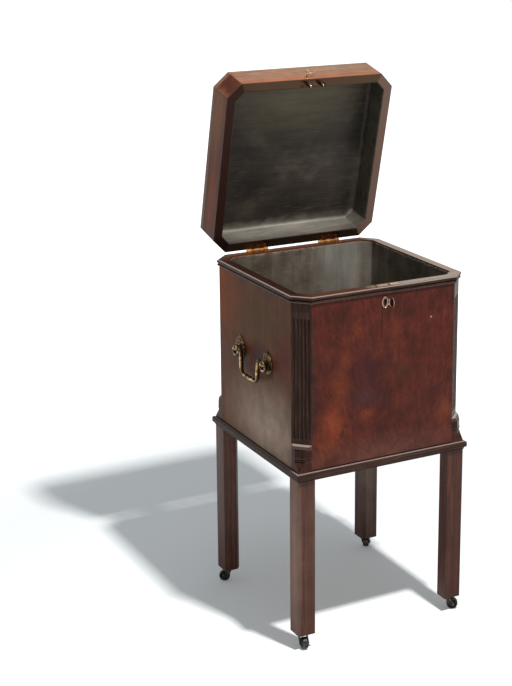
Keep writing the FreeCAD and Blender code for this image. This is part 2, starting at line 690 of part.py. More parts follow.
def make_bolt():
    """A bar with two fingers that slide into the eyes of the hooks."""
    front, back = bolt_bar_y()
    low, high = HOOK_EYE_Z - BOLT_FINGER / 2, HOOK_EYE_Z + BOLT_FINGER / 2
    half = LOCK_WIDTH / 2 - LOCK_SHEET - BOLT_THROW - SLIDE_CLEARANCE
    bar = box((-half - BOLT_THROW, front, low), (half, back, high))
    fingers = []
    for hook in (-HOOK_SPACING / 2, HOOK_SPACING / 2):
        tip = hook - HOOK_THICKNESS / 2 - 2 * SLIDE_CLEARANCE
        root = tip - BOLT_THROW - BOLT_FINGER
        near = LOCK_Y - BOLT_FINGER / 2
        fingers.append(box((root, near, low), (root + BOLT_FINGER, back, high)))
        fingers.append(box((root, near, low), (tip, near + BOLT_FINGER, high)))
    return bar.fuse(fingers).removeSplitter()


def make_link_plate():
    """The lid's half of the lock: a plate with two eyed hooks, drawn with the lid closed."""
    half = SELVEDGE_WIDTH / 2
    length = 0.8 * LOCK_WIDTH
    plate = box((-length / 2, LOCK_Y - half, LID_FOOT), (length / 2, LOCK_Y + half,
                LID_FOOT + SELVEDGE_SHEET))
    hooks = []
    for x in (-HOOK_SPACING / 2, HOOK_SPACING / 2):
        blade = box((x - HOOK_THICKNESS / 2, LOCK_Y - HOOK_WIDTH / 2, LID_FOOT - HOOK_DROP),
                    (x + HOOK_THICKNESS / 2, LOCK_Y + HOOK_WIDTH / 2, LID_FOOT))
        ends = [e for e in blade.Edges if abs(e.BoundBox.ZMax - LID_FOOT + HOOK_DROP) < 0.01
                and e.BoundBox.XLength > HOOK_THICKNESS / 2]
        hooks.append(blade.makeFillet(0.42 * HOOK_WIDTH, ends))
    eye = HOOK_EYE / 2
    eyes = box((-LOCK_WIDTH, LOCK_Y - eye, HOOK_EYE_Z - eye), (LOCK_WIDTH, LOCK_Y + eye,
               HOOK_EYE_Z + eye))
    return plate.fuse(hooks).removeSplitter().cut(eyes)


def link_recess():
    """The bed of the link plate in the lid's front rim."""
    half = SELVEDGE_WIDTH / 2
    length = 0.8 * LOCK_WIDTH
    return box((-length / 2, LOCK_Y - half, LID_FOOT - 1), (length / 2, LOCK_Y + half,
               LID_FOOT + SELVEDGE_SHEET))


def ellipse_plate(width, height, x, z, front_y, thickness):
    """An upright oval plate whose back is at front_y + thickness."""
    major = Vector(x, front_y, z + height / 2)
    minor = Vector(x + width / 2, front_y, z)
    curve = Part.Ellipse(major, minor, Vector(x, front_y, z))
    face = Part.Face(Part.Wire([curve.toShape()]))
    return face.extrude(Vector(0, thickness, 0))


def escutcheon_middle():
    """The height of the middle of the escutcheon."""
    return KEYHOLE_Z - KEYHOLE_SLOT_LENGTH / 2 + KEYHOLE_RADIUS / 2


def escutcheon_pins(extra):
    """Two small nails, above and below the keyhole."""
    reach = 0.36 * ESCUTCHEON_HEIGHT + 0.6
    front = -HALF_DEPTH - ESCUTCHEON_SHEET
    return [rod((0, front, escutcheon_middle() + side * reach),
                (0, LOCK_FRONT_Y - SLIDE_CLEARANCE, escutcheon_middle() + side * reach),
                0.6 + extra)
            for side in (-1, 1)]


def make_escutcheon():
    """The keyhole plate, with two knuckles that carry the cover's pin."""
    front = -HALF_DEPTH - ESCUTCHEON_SHEET
    middle = escutcheon_middle()
    plate = ellipse_plate(ESCUTCHEON_WIDTH, ESCUTCHEON_HEIGHT, 0, middle, front, ESCUTCHEON_SHEET)
    knuckles = []
    for low, high in cover_knuckles((0, 2)):
        knuckles.append(rod((COVER_PIN_X, COVER_PIN_Y, low), (COVER_PIN_X, COVER_PIN_Y, high),
                            COVER_KNUCKLE_RADIUS))
        knuckles.append(box((0.3 * ESCUTCHEON_WIDTH, front, low), (COVER_PIN_X, -HALF_DEPTH, high)))
    bore = rod((COVER_PIN_X, COVER_PIN_Y, middle - ESCUTCHEON_HEIGHT),
               (COVER_PIN_X, COVER_PIN_Y, middle + ESCUTCHEON_HEIGHT), COVER_PIN_RADIUS)
    whole = plate.fuse(knuckles).removeSplitter()
    cuts = [bore, keyhole(front - 1, -HALF_DEPTH + 1, 0.0)] + escutcheon_pins(HOLE_CLEARANCE)
    return cut_all(whole, cuts)


def cover_knuckles(numbers):
    """The low and high ends of the chosen knuckles of the cover's hinge, of three in all."""
    low = escutcheon_middle() - 1.5 * COVER_KNUCKLE_LENGTH
    gap = KNUCKLE_GAP / 2
    return [(low + n * COVER_KNUCKLE_LENGTH + gap, low + (n + 1) * COVER_KNUCKLE_LENGTH - gap)
            for n in numbers]


def make_cover():
    """The oval keyhole cover with its middle knuckle, drawn closed."""
    low, high = cover_knuckles((1,))[0]
    front, back = COVER_PIN_Y - COVER_SHEET / 2, COVER_PIN_Y + COVER_SHEET / 2
    plate = ellipse_plate(ESCUTCHEON_WIDTH, 0.92 * ESCUTCHEON_HEIGHT, 0, escutcheon_middle(),
                          front, COVER_SHEET)
    knuckle = rod((COVER_PIN_X, COVER_PIN_Y, low), (COVER_PIN_X, COVER_PIN_Y, high),
                  COVER_KNUCKLE_RADIUS)
    strap = box((0.3 * ESCUTCHEON_WIDTH, front, low), (COVER_PIN_X, back, high))
    bore = rod((COVER_PIN_X, COVER_PIN_Y, low - 1), (COVER_PIN_X, COVER_PIN_Y, high + 1),
               COVER_PIN_RADIUS + RUNNING_FIT)
    cover = plate.fuse([knuckle, strap]).removeSplitter().cut(bore)
    cover.rotate(Vector(COVER_PIN_X, COVER_PIN_Y, 0), Vector(0, 0, 1), COVER_OPEN)
    return cover


def make_cover_pin():
    """The pin of the cover's hinge."""
    low, high = cover_knuckles((0,))[0][0], cover_knuckles((2,))[0][1]
    return rod((COVER_PIN_X, COVER_PIN_Y, low), (COVER_PIN_X, COVER_PIN_Y, high),
               COVER_PIN_RADIUS)


# ---- carrying handles, drawn on the left side ---------------------------------------------------
def pommel_places():
    """The depth of each pommel."""
    return (-HANDLE_SPACING / 2, HANDLE_SPACING / 2)


def make_handle_plates():
    """Two lobed backplates with domed middles, laid on the side of the case."""
    made = []
    for y in pommel_places():
        face, back = -HALF_WIDTH - PLATE_SHEET, -HALF_WIDTH
        discs = [rod((face, y, HANDLE_Z), (back, y, HANDLE_Z), PLATE_RADIUS)]
        for number in range(PLATE_LOBE_COUNT):
            angle = math.radians(360 * number / PLATE_LOBE_COUNT)
            reach_z = (PLATE_LOBE_OUT + PLATE_STRETCH * abs(math.sin(angle))) * math.sin(angle)
            reach_y = PLATE_LOBE_OUT * math.cos(angle)
            discs.append(rod((face, y + reach_y, HANDLE_Z + reach_z),
                             (back, y + reach_y, HANDLE_Z + reach_z), PLATE_LOBE_RADIUS))
        ball = (PLATE_DOME_RADIUS ** 2 + PLATE_DOME ** 2) / (2 * PLATE_DOME)
        dome = Part.makeSphere(ball, Vector(face - PLATE_DOME + ball, y, HANDLE_Z))
        dome = dome.common(box((face - PLATE_DOME - 1, y - ball, HANDLE_Z - ball),
                               (face, y + ball, HANDLE_Z + ball)))
        plate = discs[0].fuse(discs[1:] + [dome]).removeSplitter()
        made.append(plate.cut(pommel_bolt(y, HOLE_CLEARANCE)))
    return made


def pommel_bolt(y, extra):
    """The threaded shank of a pommel, right through the wall."""
    return rod((-HALF_WIDTH - PLATE_SHEET - PLATE_DOME - 1, y, HANDLE_Z),
               (-HALF_WIDTH + WALL + extra, y, HANDLE_Z), POMMEL_BOLT_RADIUS + extra)


def nut_recess(y):
    """The counterbore for a pommel's nut, inside the wall."""
    inner = -HALF_WIDTH + WALL
    return rod((inner - POMMEL_NUT - HOLE_CLEARANCE, y, HANDLE_Z), (inner + 1, y, HANDLE_Z),
               POMMEL_NUT_RADIUS + HOLE_CLEARANCE)


def turned_post(start, reach_radii, direction):
    """A round post along X. Each stretch is a length and its radius, and it ends in a ball."""
    at = 0.0
    profile = [(0.0, 0.0)]
    for length, radius in reach_radii[:-1]:
        profile += [(at, radius), (at + length, radius)]
        at += length
    to_ball, ball = reach_radii[-1]
    neck = profile[-1][1]
    centre = at + to_ball
    meet = centre - math.sqrt(ball ** 2 - neck ** 2)
    profile[-1] = (meet, neck)
    slope = math.radians(60)

    def place(point):
        return Vector(start[0] + direction * point[0], start[1], start[2] + point[1])

    side = (centre - ball * math.cos(slope), ball * math.sin(slope))
    edges = [Part.LineSegment(place(a), place(b)).toShape() for a, b in zip(profile, profile[1:])]
    edges.append(Part.Arc(place(profile[-1]), place(side), place((centre + ball, 0))).toShape())
    edges.append(Part.LineSegment(place((centre + ball, 0)), place(profile[0])).toShape())
    face = Part.Face(Part.Wire(edges))
    return face.revolve(Vector(*start), Vector(1, 0, 0), 360)


def make_pommels():
    """Two round-headed posts, each with a bored eye for the bail and a shank through the wall."""
    made = []
    axis_x = -HALF_WIDTH - HANDLE_OUT
    for y in pommel_places():
        shank_end = (-HALF_WIDTH + WALL, y, HANDLE_Z)
        seat = PLATE_SHEET + PLATE_DOME
        stretches = [(WALL + seat, POMMEL_BOLT_RADIUS), (POMMEL_COLLAR, POMMEL_STEM_RADIUS),
                     (HANDLE_OUT - seat - POMMEL_COLLAR, POMMEL_RADIUS)]
        post = turned_post(shank_end, stretches, -1)
        for side in (-1, 1):
            low = y + POMMEL_HALF_LENGTH if side > 0 else y - 2 * POMMEL_RADIUS
            high = y + 2 * POMMEL_RADIUS if side > 0 else y - POMMEL_HALF_LENGTH
            flat = box((axis_x - 2 * POMMEL_RADIUS, low, HANDLE_Z - 2 * POMMEL_RADIUS),
                       (axis_x + 2 * POMMEL_RADIUS, high, HANDLE_Z + 2 * POMMEL_RADIUS))
            post = post.cut(flat)
        eye = rod((axis_x, y - POMMEL_RADIUS - 1, HANDLE_Z), (axis_x, y + POMMEL_RADIUS + 1,
                  HANDLE_Z), BAIL_PIN_RADIUS + RUNNING_FIT)
        made.append(post.cut(eye))
    return made


def make_nuts():
    """The round nuts of the pommels of one handle."""
    inner = -HALF_WIDTH + WALL
    made = []
    for y in pommel_places():
        nut = rod((inner - POMMEL_NUT, y, HANDLE_Z), (inner, y, HANDLE_Z), POMMEL_NUT_RADIUS)
        made.append(nut.cut(pommel_bolt(y, HOLE_CLEARANCE)))
    return made


def bail_route():
    """Half of a swan-necked bail: from the eye, round and under its pommel, up and down again."""
    half = HANDLE_SPACING / 2
    x = -HALF_WIDTH - HANDLE_OUT
    eye = half + POMMEL_HALF_LENGTH + SLIDE_CLEARANCE
    lean = 0.5 * BAIL_RADIUS
    points = [(eye, 0.0), (half + BAIL_LOOP_OUT, 0.0),
              (half + BAIL_LOOP_OUT - lean, -BAIL_LOOP_DROP),
              (half - BAIL_NECK_IN, -BAIL_LOOP_DROP), (half - BAIL_ARCH_IN, BAIL_ARCH_RISE),
              (half - BAIL_ARCH_IN - BAIL_ARCH_SPAN, BAIL_ARCH_RISE),
              (half - BAIL_ARM_IN, BAIL_SHOULDER_RISE - BAIL_DROP),
              (half - BAIL_SHOULDER_IN, -BAIL_DROP), (0.0, -BAIL_DROP)]
    return [(x, y, HANDLE_Z + z) for y, z in points]


def make_bail():
    """The bail, hanging: two swan necks, their inward pins and a swelling grip."""
    route = bail_route()
    whole = route[:-1] + [(x, -y, z) for x, y, z in reversed(route[:-1])]
    path = rounded_route(whole, BAIL_BENDS + BAIL_BENDS[::-1])
    bar = tube(path, BAIL_RADIUS)
    x, y, z = route[0]
    reach = 2 * POMMEL_HALF_LENGTH + SLIDE_CLEARANCE
    pins = [rod((x, side * y, z), (x, side * (y - reach), z), BAIL_PIN_RADIUS) for side in (-1, 1)]
    grip = Part.makeCylinder(BAIL_GRIP_RADIUS, BAIL_GRIP_LENGTH,
                             Vector(x, -BAIL_GRIP_LENGTH / 2, route[-1][2]), Vector(0, 1, 0))
    return bar.fuse(pins + [grip]).removeSplitter()


# ---- lid pull, drawn with the lid closed ---------------------------------------------------------
def make_pull_stud():
    """A turned stud in the lid's front, with a knob that keeps the drop on."""
    face = -HALF_DEPTH
    knob = face - PULL_LENGTH
    rose = rod((PULL_OFFSET, face, PULL_Z), (PULL_OFFSET, face - PULL_ROSE, PULL_Z),
               PULL_ROSE_RADIUS)
    collar = rod((PULL_OFFSET, face, PULL_Z),
                 (PULL_OFFSET, face - PULL_DROP_OUT + PULL_DROP_THICKNESS / 2 + PULL_GAP, PULL_Z),
                 PULL_SHAFT_RADIUS + 0.8)
    shaft = rod((PULL_OFFSET, face + 0.6 * WALL, PULL_Z), (PULL_OFFSET, knob, PULL_Z),
                PULL_SHAFT_RADIUS)
    ball = Part.makeSphere(PULL_KNOB_RADIUS, Vector(PULL_OFFSET, knob, PULL_Z))
    return shaft.fuse([rose, collar, ball]).removeSplitter()


def pull_hole():
    """The hole for the stud in the lid's front."""
    return rod((PULL_OFFSET, -HALF_DEPTH - 1, PULL_Z),
               (PULL_OFFSET, -HALF_DEPTH + 0.6 * WALL + HOLE_CLEARANCE, PULL_Z),
               PULL_SHAFT_RADIUS + HOLE_CLEARANCE)


def make_pull_drop():
    """A tapering drop with an eye, lying to the right of its stud."""
    y = -HALF_DEPTH - PULL_DROP_OUT
    half = PULL_DROP_THICKNESS / 2
    eye = rod((PULL_OFFSET, y - half, PULL_Z), (PULL_OFFSET, y + half, PULL_Z), PULL_EYE_RADIUS)
    along = Vector(1, 0, 0)
    swell, tip = PULL_OFFSET + PULL_SWELL_OUT, PULL_OFFSET + PULL_DROP_LENGTH
    neck = PULL_OFFSET + (PULL_SHAFT_RADIUS + PULL_EYE_RADIUS) / 2
    shoulder = Part.makeCone(PULL_NECK_RADIUS, PULL_SWELL_RADIUS, swell - neck,
                             Vector(neck, y, PULL_Z), along)
    taper = Part.makeCone(PULL_SWELL_RADIUS, PULL_WAIST_RADIUS, tip - swell,
                          Vector(swell, y, PULL_Z), along)
    end = Part.makeSphere(PULL_TIP_RADIUS, Vector(tip, y, PULL_Z))
    bore = rod((PULL_OFFSET, y - 2 * half, PULL_Z), (PULL_OFFSET, y + 2 * half, PULL_Z),
               PULL_SHAFT_RADIUS + RUNNING_FIT)
    drop = eye.fuse([shoulder, taper, end]).removeSplitter().cut(bore)
    drop.rotate(Vector(PULL_OFFSET, y, PULL_Z), Vector(0, -1, 0), PULL_TURN)
    return drop


# ---- assembly --------------------------------------------------------------------------------
CORNERS = {"front_left": (-1, -1), "front_right": (1, -1),
           "back_left": (-1, 1), "back_right": (1, 1)}
SIDES = ("front", "front_right", "right", "back_right", "back", "back_left", "left", "front_left")
WALL_SIDES = {name: number for number, name in enumerate(SIDES) if "_" not in name}
POST_SIDES = {name: number for number, name in enumerate(SIDES) if "_" in name}


def fixing_screws(extra):
    """Four screws up through the rails into the bottom of the case walls."""
    low = RAIL_FOOT
    set_in = WALL / 2
    made = []
    for x, y in ((0, -1), (0, 1), (-1, 0), (1, 0)):
        place = (x * (HALF_WIDTH - set_in), y * (HALF_DEPTH - set_in), low)
        made.append(screw(place, (0, 0, 1), FIXING_SCREW_RADIUS, 2 * FIXING_SCREW_RADIUS,
                          FIXING_SCREW_LENGTH, extra))
    return made


def stand_nodes():
    """Legs, rails, mouldings, castors and their screws."""
    nodes = {}
    nodes["castor_plates"], nodes["castor_screws"] = [], []
    for name, (side_x, side_y) in CORNERS.items():
        x, y = leg_middle(side_x, side_y)
        nodes["leg_" + name] = [make_leg(side_x, side_y, castor_screws(x, y, HOLE_CLEARANCE))]
        nodes["castor_plates"].append(make_castor_plate(x, y))
        nodes["castor_screws"] += castor_screws(x, y, 0.0)
        heading = CASTOR_HEADINGS[name]
        nodes["castor_fork_" + name] = [turned(piece, x, y, heading)
                                        for piece in (make_fork(), make_axle())]
        nodes["castor_wheel_" + name] = [turned(make_wheel(), x, y, heading)]
    for name in WALL_SIDES:
        nodes["stand_rail_" + name] = [make_rail(name, fixing_screws(HOLE_CLEARANCE))]
    nodes["stand_moulding"] = stand_moulding()
    nodes["stand_screws"] = fixing_screws(0.0)
    return nodes


def case_cuts():
    """What is cut from each wall of the case."""
    low, high = lock_outline()
    mortice = box(low, (high[0], high[1] + 1, high[2] + 1))
    half = SELVEDGE_WIDTH / 2
    selvedge_bed = box((low[0], LOCK_Y - half, RIM - SELVEDGE_SHEET),
                       (high[0], LOCK_Y + half, RIM + 1))
    front = [mortice, selvedge_bed, keyhole(-HALF_DEPTH - 1, low[1] + 1, 0.2)]
    front += escutcheon_pins(HOLE_CLEARANCE)
    left = [nut_recess(y) for y in pommel_places()]
    left += [pommel_bolt(y, HOLE_CLEARANCE) for y in pommel_places()]
    back = [leaf_recess(x, RIM - HINGE_LEAF, RIM + 1) for x in hinge_middles()]
    back += hinge_screws(RIM, -1, HOLE_CLEARANCE)
    cuts = {"front": front, "left": left, "right": [other_side(c) for c in left], "back": back}
    return {name: tools + fixing_screws(HOLE_CLEARANCE) for name, tools in cuts.items()}


def case_nodes():
    """Walls, fluted posts, brackets, moulding, bottom, lining and their fittings."""
    nodes = {}
    cuts = case_cuts()
    for name, side in WALL_SIDES.items():
        nodes["case_" + name] = [case_wall(side, cuts[name])]
    for name, side in POST_SIDES.items():
        nodes["corner_post_" + name] = [case_wall(side, flutes(side))]
    nodes["corner_brackets"] = [make_bracket(side) for side in POST_SIDES.values()]
    nodes["case_moulding"] = case_moulding()
    nodes["case_bottom"] = [prism(octagon(WALL), STAND_HEIGHT, STAND_HEIGHT + FLOOR_BOARD)]
    nodes["case_lining"] = [case_lining()]
    nodes["lock_case"] = [make_lock_case()]
    nodes["lock_selvedge"] = [make_selvedge()]
    nodes["lock_bolt"] = [make_bolt()]
    nodes["escutcheon_plate"] = [make_escutcheon()]
    nodes["escutcheon_pins"] = escutcheon_pins(0.0) + [make_cover_pin()]
    nodes["escutcheon_cover"] = [make_cover()]
    handle = {"plates": make_handle_plates(), "pommels": make_pommels(), "bail": [make_bail()]}
    for name, pieces in handle.items():
        nodes["left_handle_" + name] = pieces
        nodes["right_handle_" + name] = [other_side(piece) for piece in pieces]
    nodes["handle_nuts"] = make_nuts() + [other_side(nut) for nut in make_nuts()]
    nodes["hinge_case_leaves"] = [
        cut_all(hinge_half(x, RIM - HINGE_LEAF, 0), hinge_screws(RIM, -1, HOLE_CLEARANCE))
        for x in hinge_middles()]
    nodes["hinge_pins"] = [rod((x - HINGE_LENGTH / 2, HINGE_Y, HINGE_Z),
                               (x + HINGE_LENGTH / 2, HINGE_Y, HINGE_Z), HINGE_PIN_RADIUS)
                           for x in hinge_middles()]
    nodes["hinge_case_screws"] = hinge_screws(RIM, -1, 0.0)
    return nodes


def lid_nodes():
    """The lid and what it carries, drawn closed."""
    nodes = {}
    back = [leaf_recess(x, LID_FOOT - 1, LID_FOOT + HINGE_LEAF) for x in hinge_middles()]
    back += hinge_screws(LID_FOOT, 1, HOLE_CLEARANCE)
    cuts = {"front": [link_recess(), pull_hole()], "back": back, "left": [], "right": []}
    for name, side in WALL_SIDES.items():
        nodes["lid_" + name] = [lid_wall(side, cuts[name])]
    nodes["lid_corners"] = [lid_wall(side, []) for side in POST_SIDES.values()]
    nodes["lid_top"] = [make_lid_top()]
    nodes["lid_lining"] = [lid_lining()]
    nodes["link_plate"] = [make_link_plate()]
    nodes["hinge_lid_leaves"] = [
        cut_all(hinge_half(x, LID_FOOT, 1), hinge_screws(LID_FOOT, 1, HOLE_CLEARANCE))
        for x in hinge_middles()]
    nodes["hinge_lid_screws"] = hinge_screws(LID_FOOT, 1, 0.0)
    nodes["lid_pull_stud"] = [make_pull_stud()]
    nodes["lid_pull_drop"] = [make_pull_drop()]
    return nodes


def opened(shape):
    """A lid piece, turned about the hinge pins to where the lid stands."""
    shape = shape.copy()
    shape.rotate(Vector(0, HINGE_Y, HINGE_Z), Vector(-1, 0, 0), LID_OPEN)
    return shape


def build():
    """Makes every node and writes one STEP file for each."""
    nodes = stand_nodes()
    nodes.update(case_nodes())
    nodes.update({name: [opened(piece) for piece in pieces]
                  for name, pieces in lid_nodes().items()})
    os.makedirs("parts", exist_ok=True)
    for name, pieces in sorted(nodes.items()):
        solids = [solid for piece in pieces for solid in piece.Solids]
        shape = Part.makeCompound(solids) if len(solids) > 1 else solids[0]
        shape.translate(Vector(0, OFFSET_Y, 0))
        shape.exportStep("parts/" + name + ".step")
        low, high = shape.BoundBox, shape.BoundBox
        print(f"{name:28s} solids {len(solids)} valid {shape.isValid()} "
              f"volume {shape.Volume / 1000:9.2f} cm3  z {low.ZMin:7.1f} to {high.ZMax:7.1f}")
    print(len(nodes), "nodes; origin offset", round(OFFSET_Y, 3))


build()
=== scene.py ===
import json
import math

import bmesh
import bpy
from mathutils import Matrix, Vector, noise


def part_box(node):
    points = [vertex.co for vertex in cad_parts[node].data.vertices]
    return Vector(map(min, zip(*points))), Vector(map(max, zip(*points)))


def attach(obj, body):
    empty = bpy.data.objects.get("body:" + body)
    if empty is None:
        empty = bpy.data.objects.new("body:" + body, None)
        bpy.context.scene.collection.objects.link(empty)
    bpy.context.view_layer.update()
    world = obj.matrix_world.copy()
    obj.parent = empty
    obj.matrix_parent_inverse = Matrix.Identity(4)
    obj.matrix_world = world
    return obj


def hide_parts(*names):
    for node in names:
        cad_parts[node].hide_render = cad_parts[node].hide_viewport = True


# The looks of a mahogany cellarette: veneered case and lid, lead linings, brass fittings.
# Metres, in the model's own frame: +Z up, -Y the front, the origin on the floor.
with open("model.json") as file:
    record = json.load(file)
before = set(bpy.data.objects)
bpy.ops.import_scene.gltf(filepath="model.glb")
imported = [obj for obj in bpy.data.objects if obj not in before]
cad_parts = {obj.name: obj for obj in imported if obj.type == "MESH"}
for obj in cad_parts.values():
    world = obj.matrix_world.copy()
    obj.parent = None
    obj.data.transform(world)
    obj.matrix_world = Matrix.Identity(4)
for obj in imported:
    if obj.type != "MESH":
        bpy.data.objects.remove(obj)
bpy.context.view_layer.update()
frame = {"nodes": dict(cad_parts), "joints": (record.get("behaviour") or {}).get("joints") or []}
MM = 0.001
TO_RIGHT, TO_BACK, UP = Vector((1, 0, 0)), Vector((0, 1, 0)), Vector((0, 0, 1))
CORNERS = ("front_left", "front_right", "back_left", "back_right")
JOINTS = {joint["name"]: joint for joint in frame["joints"]}


def joint_place(name):
    """Where a joint's axis lies."""
    return Vector(JOINTS[name]["pos_m"])


# ---- places, from the model ----
LEFT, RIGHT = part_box("case_left")[0].x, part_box("case_right")[1].x
FRONT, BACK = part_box("case_front")[0].y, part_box("case_back")[1].y
STAND_TOP, RIM = (corner.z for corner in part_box("case_front"))
MIDDLE_Y = (FRONT + BACK) / 2
HALF_WIDTH, HALF_DEPTH = (RIGHT - LEFT) / 2, (BACK - FRONT) / 2
LEG_LEFT, LEG_FRONT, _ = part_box("leg_front_left")[0]
MOULDING_FOOT, MOULDING_HEAD = (corner.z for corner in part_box("case_moulding"))
STAND_MOULDING_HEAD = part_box("stand_moulding")[1].z
LINING_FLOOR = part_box("case_lining")[0].z
CANT = 28 * MM                       # each leg of a canted corner
WALL = 17 * MM
LEAD = 1.2 * MM
LEAD_EDGE = RIM - 3.6 * MM
LEG_WIDTH = 35 * MM
HINGE = joint_place("lid_hinge")
LID_OPEN = math.radians(76)
LID_FOOT = HINGE.z + 0.3 * MM        # rim of the closed lid
LID_HEIGHT = 66 * MM
LID_BOARD = 12 * MM
LEAF_SETBACK = 8.25 * MM             # middle of a hinge leaf, from the back
LOCK_Y = FRONT + 9.5 * MM
COVER_PIN = joint_place("keyhole_cover_hinge")
COVER_OPEN = math.radians(100)
PLATE_Z = COVER_PIN.z                # middle of the keyhole plate
BAIL_MIDDLE = joint_place("left_bail_hinge")
HALF_POMMEL_SPACING = 58 * MM


def turned_about(point, angle, axis):
    """The turn by an angle about an axis through a point."""
    return Matrix.Translation(point) @ Matrix.Rotation(angle, 4, axis) @ Matrix.Translation(-point)


OPENED = turned_about(HINGE, -LID_OPEN, "X")
COVER_OPENED = turned_about(COVER_PIN, COVER_OPEN, "Z")


# ---- materials: tools ----
# The scale of a pattern is how many of its spots lie in a metre.
def linear(hex_colour):
    """An sRGB hex colour as the linear values that a shader takes."""
    values = [int(hex_colour[i:i + 2], 16) / 255 for i in (1, 3, 5)]
    return [v / 12.92 if v <= 0.04045 else ((v + 0.055) / 1.055) ** 2.4 for v in values] + [1.0]


def add(tree, kind, settings=None, links=None):
    """Adds one node. Settings are its attributes, its stops or its inputs, and links its sources."""
    node = tree.nodes.new("ShaderNode" + kind)
    for name, value in (settings or {}).items():
        if name == "stops":
            ramp = node.color_ramp
            while len(ramp.elements) < len(value):
                ramp.elements.new(1.0)
            for element, (at, colour) in zip(ramp.elements, value):
                element.position = at
                element.color = linear(colour) if isinstance(colour, str) else [colour] * 3 + [1.0]
        elif isinstance(name, str) and hasattr(node, name):
            setattr(node, name, value)
        else:
            socket = node.inputs[name]
            socket.default_value = linear(value) if isinstance(value, str) else value
    for name, source in (links or {}).items():
        tree.links.new(source, node.inputs[name])
    return node


def start_material(name):
    """An empty node material, and the object's own coordinates in it."""
    material = bpy.data.materials.new(name)
    material.use_nodes = True
    tree = material.node_tree
    tree.nodes.clear()
    return material, tree, add(tree, "TexCoord").outputs["Object"]


def finish_material(material, tree, surface):
    """Links the shader to the output."""
    add(tree, "OutputMaterial", links={"Surface": surface.outputs[0]})
    return material


def closed_place(tree, place):
    """Where a point of the open lid lies when the lid is shut."""
    turned = add(tree, "Mapping", {"vector_type": "TEXTURE", "Location": HINGE,
                                   "Rotation": (-LID_OPEN, 0, 0)}, {"Vector": place})
    return add(tree, "VectorMath", {"operation": "ADD", 1: HINGE}, {0: turned.outputs[0]}).outputs[0]


def soft_patch(tree, place, centre, radii, core):
    """One in the core of an ellipsoid, which falls off softly to nothing at its skin."""
    moved = add(tree, "Mapping", {"vector_type": "TEXTURE", "Location": centre, "Scale": radii},
                {"Vector": place})
    reach = add(tree, "VectorMath", {"operation": "LENGTH"}, {0: moved.outputs[0]})
    return add(tree, "MapRange", {"interpolation_type": "SMOOTHSTEP", "From Min": 1.0,
                                  "From Max": core}, {"Value": reach.outputs["Value"]}).outputs[0]


def tinted(tree, place, colour, zones, fray=0.0, core=0.0):
    """Lays tones over a colour. A zone is a tone, its middle, its radii and its strength.

    fray is how far the edges of the zones wander, so that they follow the grain and not a line,
    and core is the share of a zone that has its whole strength.
    """
    if fray:
        wander = add(tree, "TexNoise", {"Scale": 0.6 / fray, "Detail": 4.0, "Roughness": 0.65},
                     {"Vector": place})
        place = add(tree, "VectorMath", {"operation": "MULTIPLY_ADD", 1: (2 * fray,) * 3},
                    {0: wander.outputs["Color"], 2: place}).outputs[0]
    for tone, middle, radii, strength in zones:
        patch = soft_patch(tree, place, [at + fray for at in middle], radii, core)
        amount = add(tree, "Math", {"operation": "MULTIPLY", 1: strength}, {0: patch})
        colour = add(tree, "Mix", {"data_type": "RGBA", 7: tone},
                     {0: amount.outputs[0], 6: colour}).outputs[2]
    return colour


def shaded(tree, colour, pattern, low, high, between=(0.34, 0.66)):
    """A colour made darker or lighter by a grey pattern, from low to high between two greys."""
    shade = add(tree, "MapRange", {"From Min": between[0], "From Max": between[1], "To Min": low,
                                   "To Max": high}, {"Value": pattern})
    return add(tree, "VectorMath", {"operation": "SCALE"},
               {0: colour, "Scale": shade.outputs[0]}).outputs[0]


ALL_ROUND = 5.0                      # a radius that takes in the whole object
THROUGH = 0.1                        # a radius that goes through a wall
SIDE_TO_SIDE = 0.5                   # a radius from one side that fades towards the other


def band(tone, z, high, strength):
    """A zone that runs round the whole object at one height."""
    return tone, (0, 0, z), (ALL_ROUND, ALL_ROUND, high), strength


# ---- wood ----
X_GRAIN, Y_GRAIN, Z_GRAIN = 0, 1, 2
GRAIN_STOPS = (0.3, 0.5, 0.7)
CLOUD_SPOTS = 26.0                   # of 38 mm
BEND_SPOTS = 9.0                     # of 110 mm
CROTCH_LINE, FEATHER_LEAN = -6 * MM, math.radians(-38)
FEATHER_WIDTH, FEATHER_RUN = 3 * MM, 22 * MM
FIBRE_WIDTH, FIBRE_RUN = 2.2 * MM, 28 * MM
PORE_WIDTH, PORE_RUN = 0.9 * MM, 16 * MM
GRAIN_BEND = 10 * MM                 # how far the grain wanders off its line
HOLLOW_SHADE = 0.22
WORN_EDGE = 0.9 * MM                 # radius of the edges that wear has rounded


def strokes(tree, place, axis, wide, run, detail, roughness=0.5):
    """Long soft strokes that run along one axis, as a grey pattern."""
    scale = [1 / wide] * 3
    scale[axis] = 1 / run
    drawn = add(tree, "Mapping", {"Scale": scale}, {"Vector": place})
    return add(tree, "TexNoise", {"Scale": 1.0, "Detail": detail, "Roughness": roughness},
               {"Vector": drawn.outputs[0]}).outputs[0]


def feathers(tree, place, middle_x):
    """Short strokes that fan out and up from a middle line, as a grey pattern."""
    apart = add(tree, "SeparateXYZ", links={0: place})
    off = add(tree, "Math", {"operation": "SUBTRACT", 1: middle_x}, {0: apart.outputs["X"]})
    side = add(tree, "Math", {"operation": "ABSOLUTE"}, {0: off.outputs[0]})
    folded = add(tree, "CombineXYZ", links={"X": side.outputs[0], "Z": apart.outputs["Z"]})
    leaning = add(tree, "Mapping", {"Rotation": (0, FEATHER_LEAN, 0)}, {"Vector": folded.outputs[0]})
    drawn = add(tree, "Mapping", {"Scale": (1 / FEATHER_WIDTH, 1, 1 / FEATHER_RUN)},
                {"Vector": leaning.outputs[0]})
    return add(tree, "TexNoise", {"Scale": 1.0, "Detail": 3.0, "Roughness": 0.6},
               {"Vector": drawn.outputs[0]}).outputs[0]


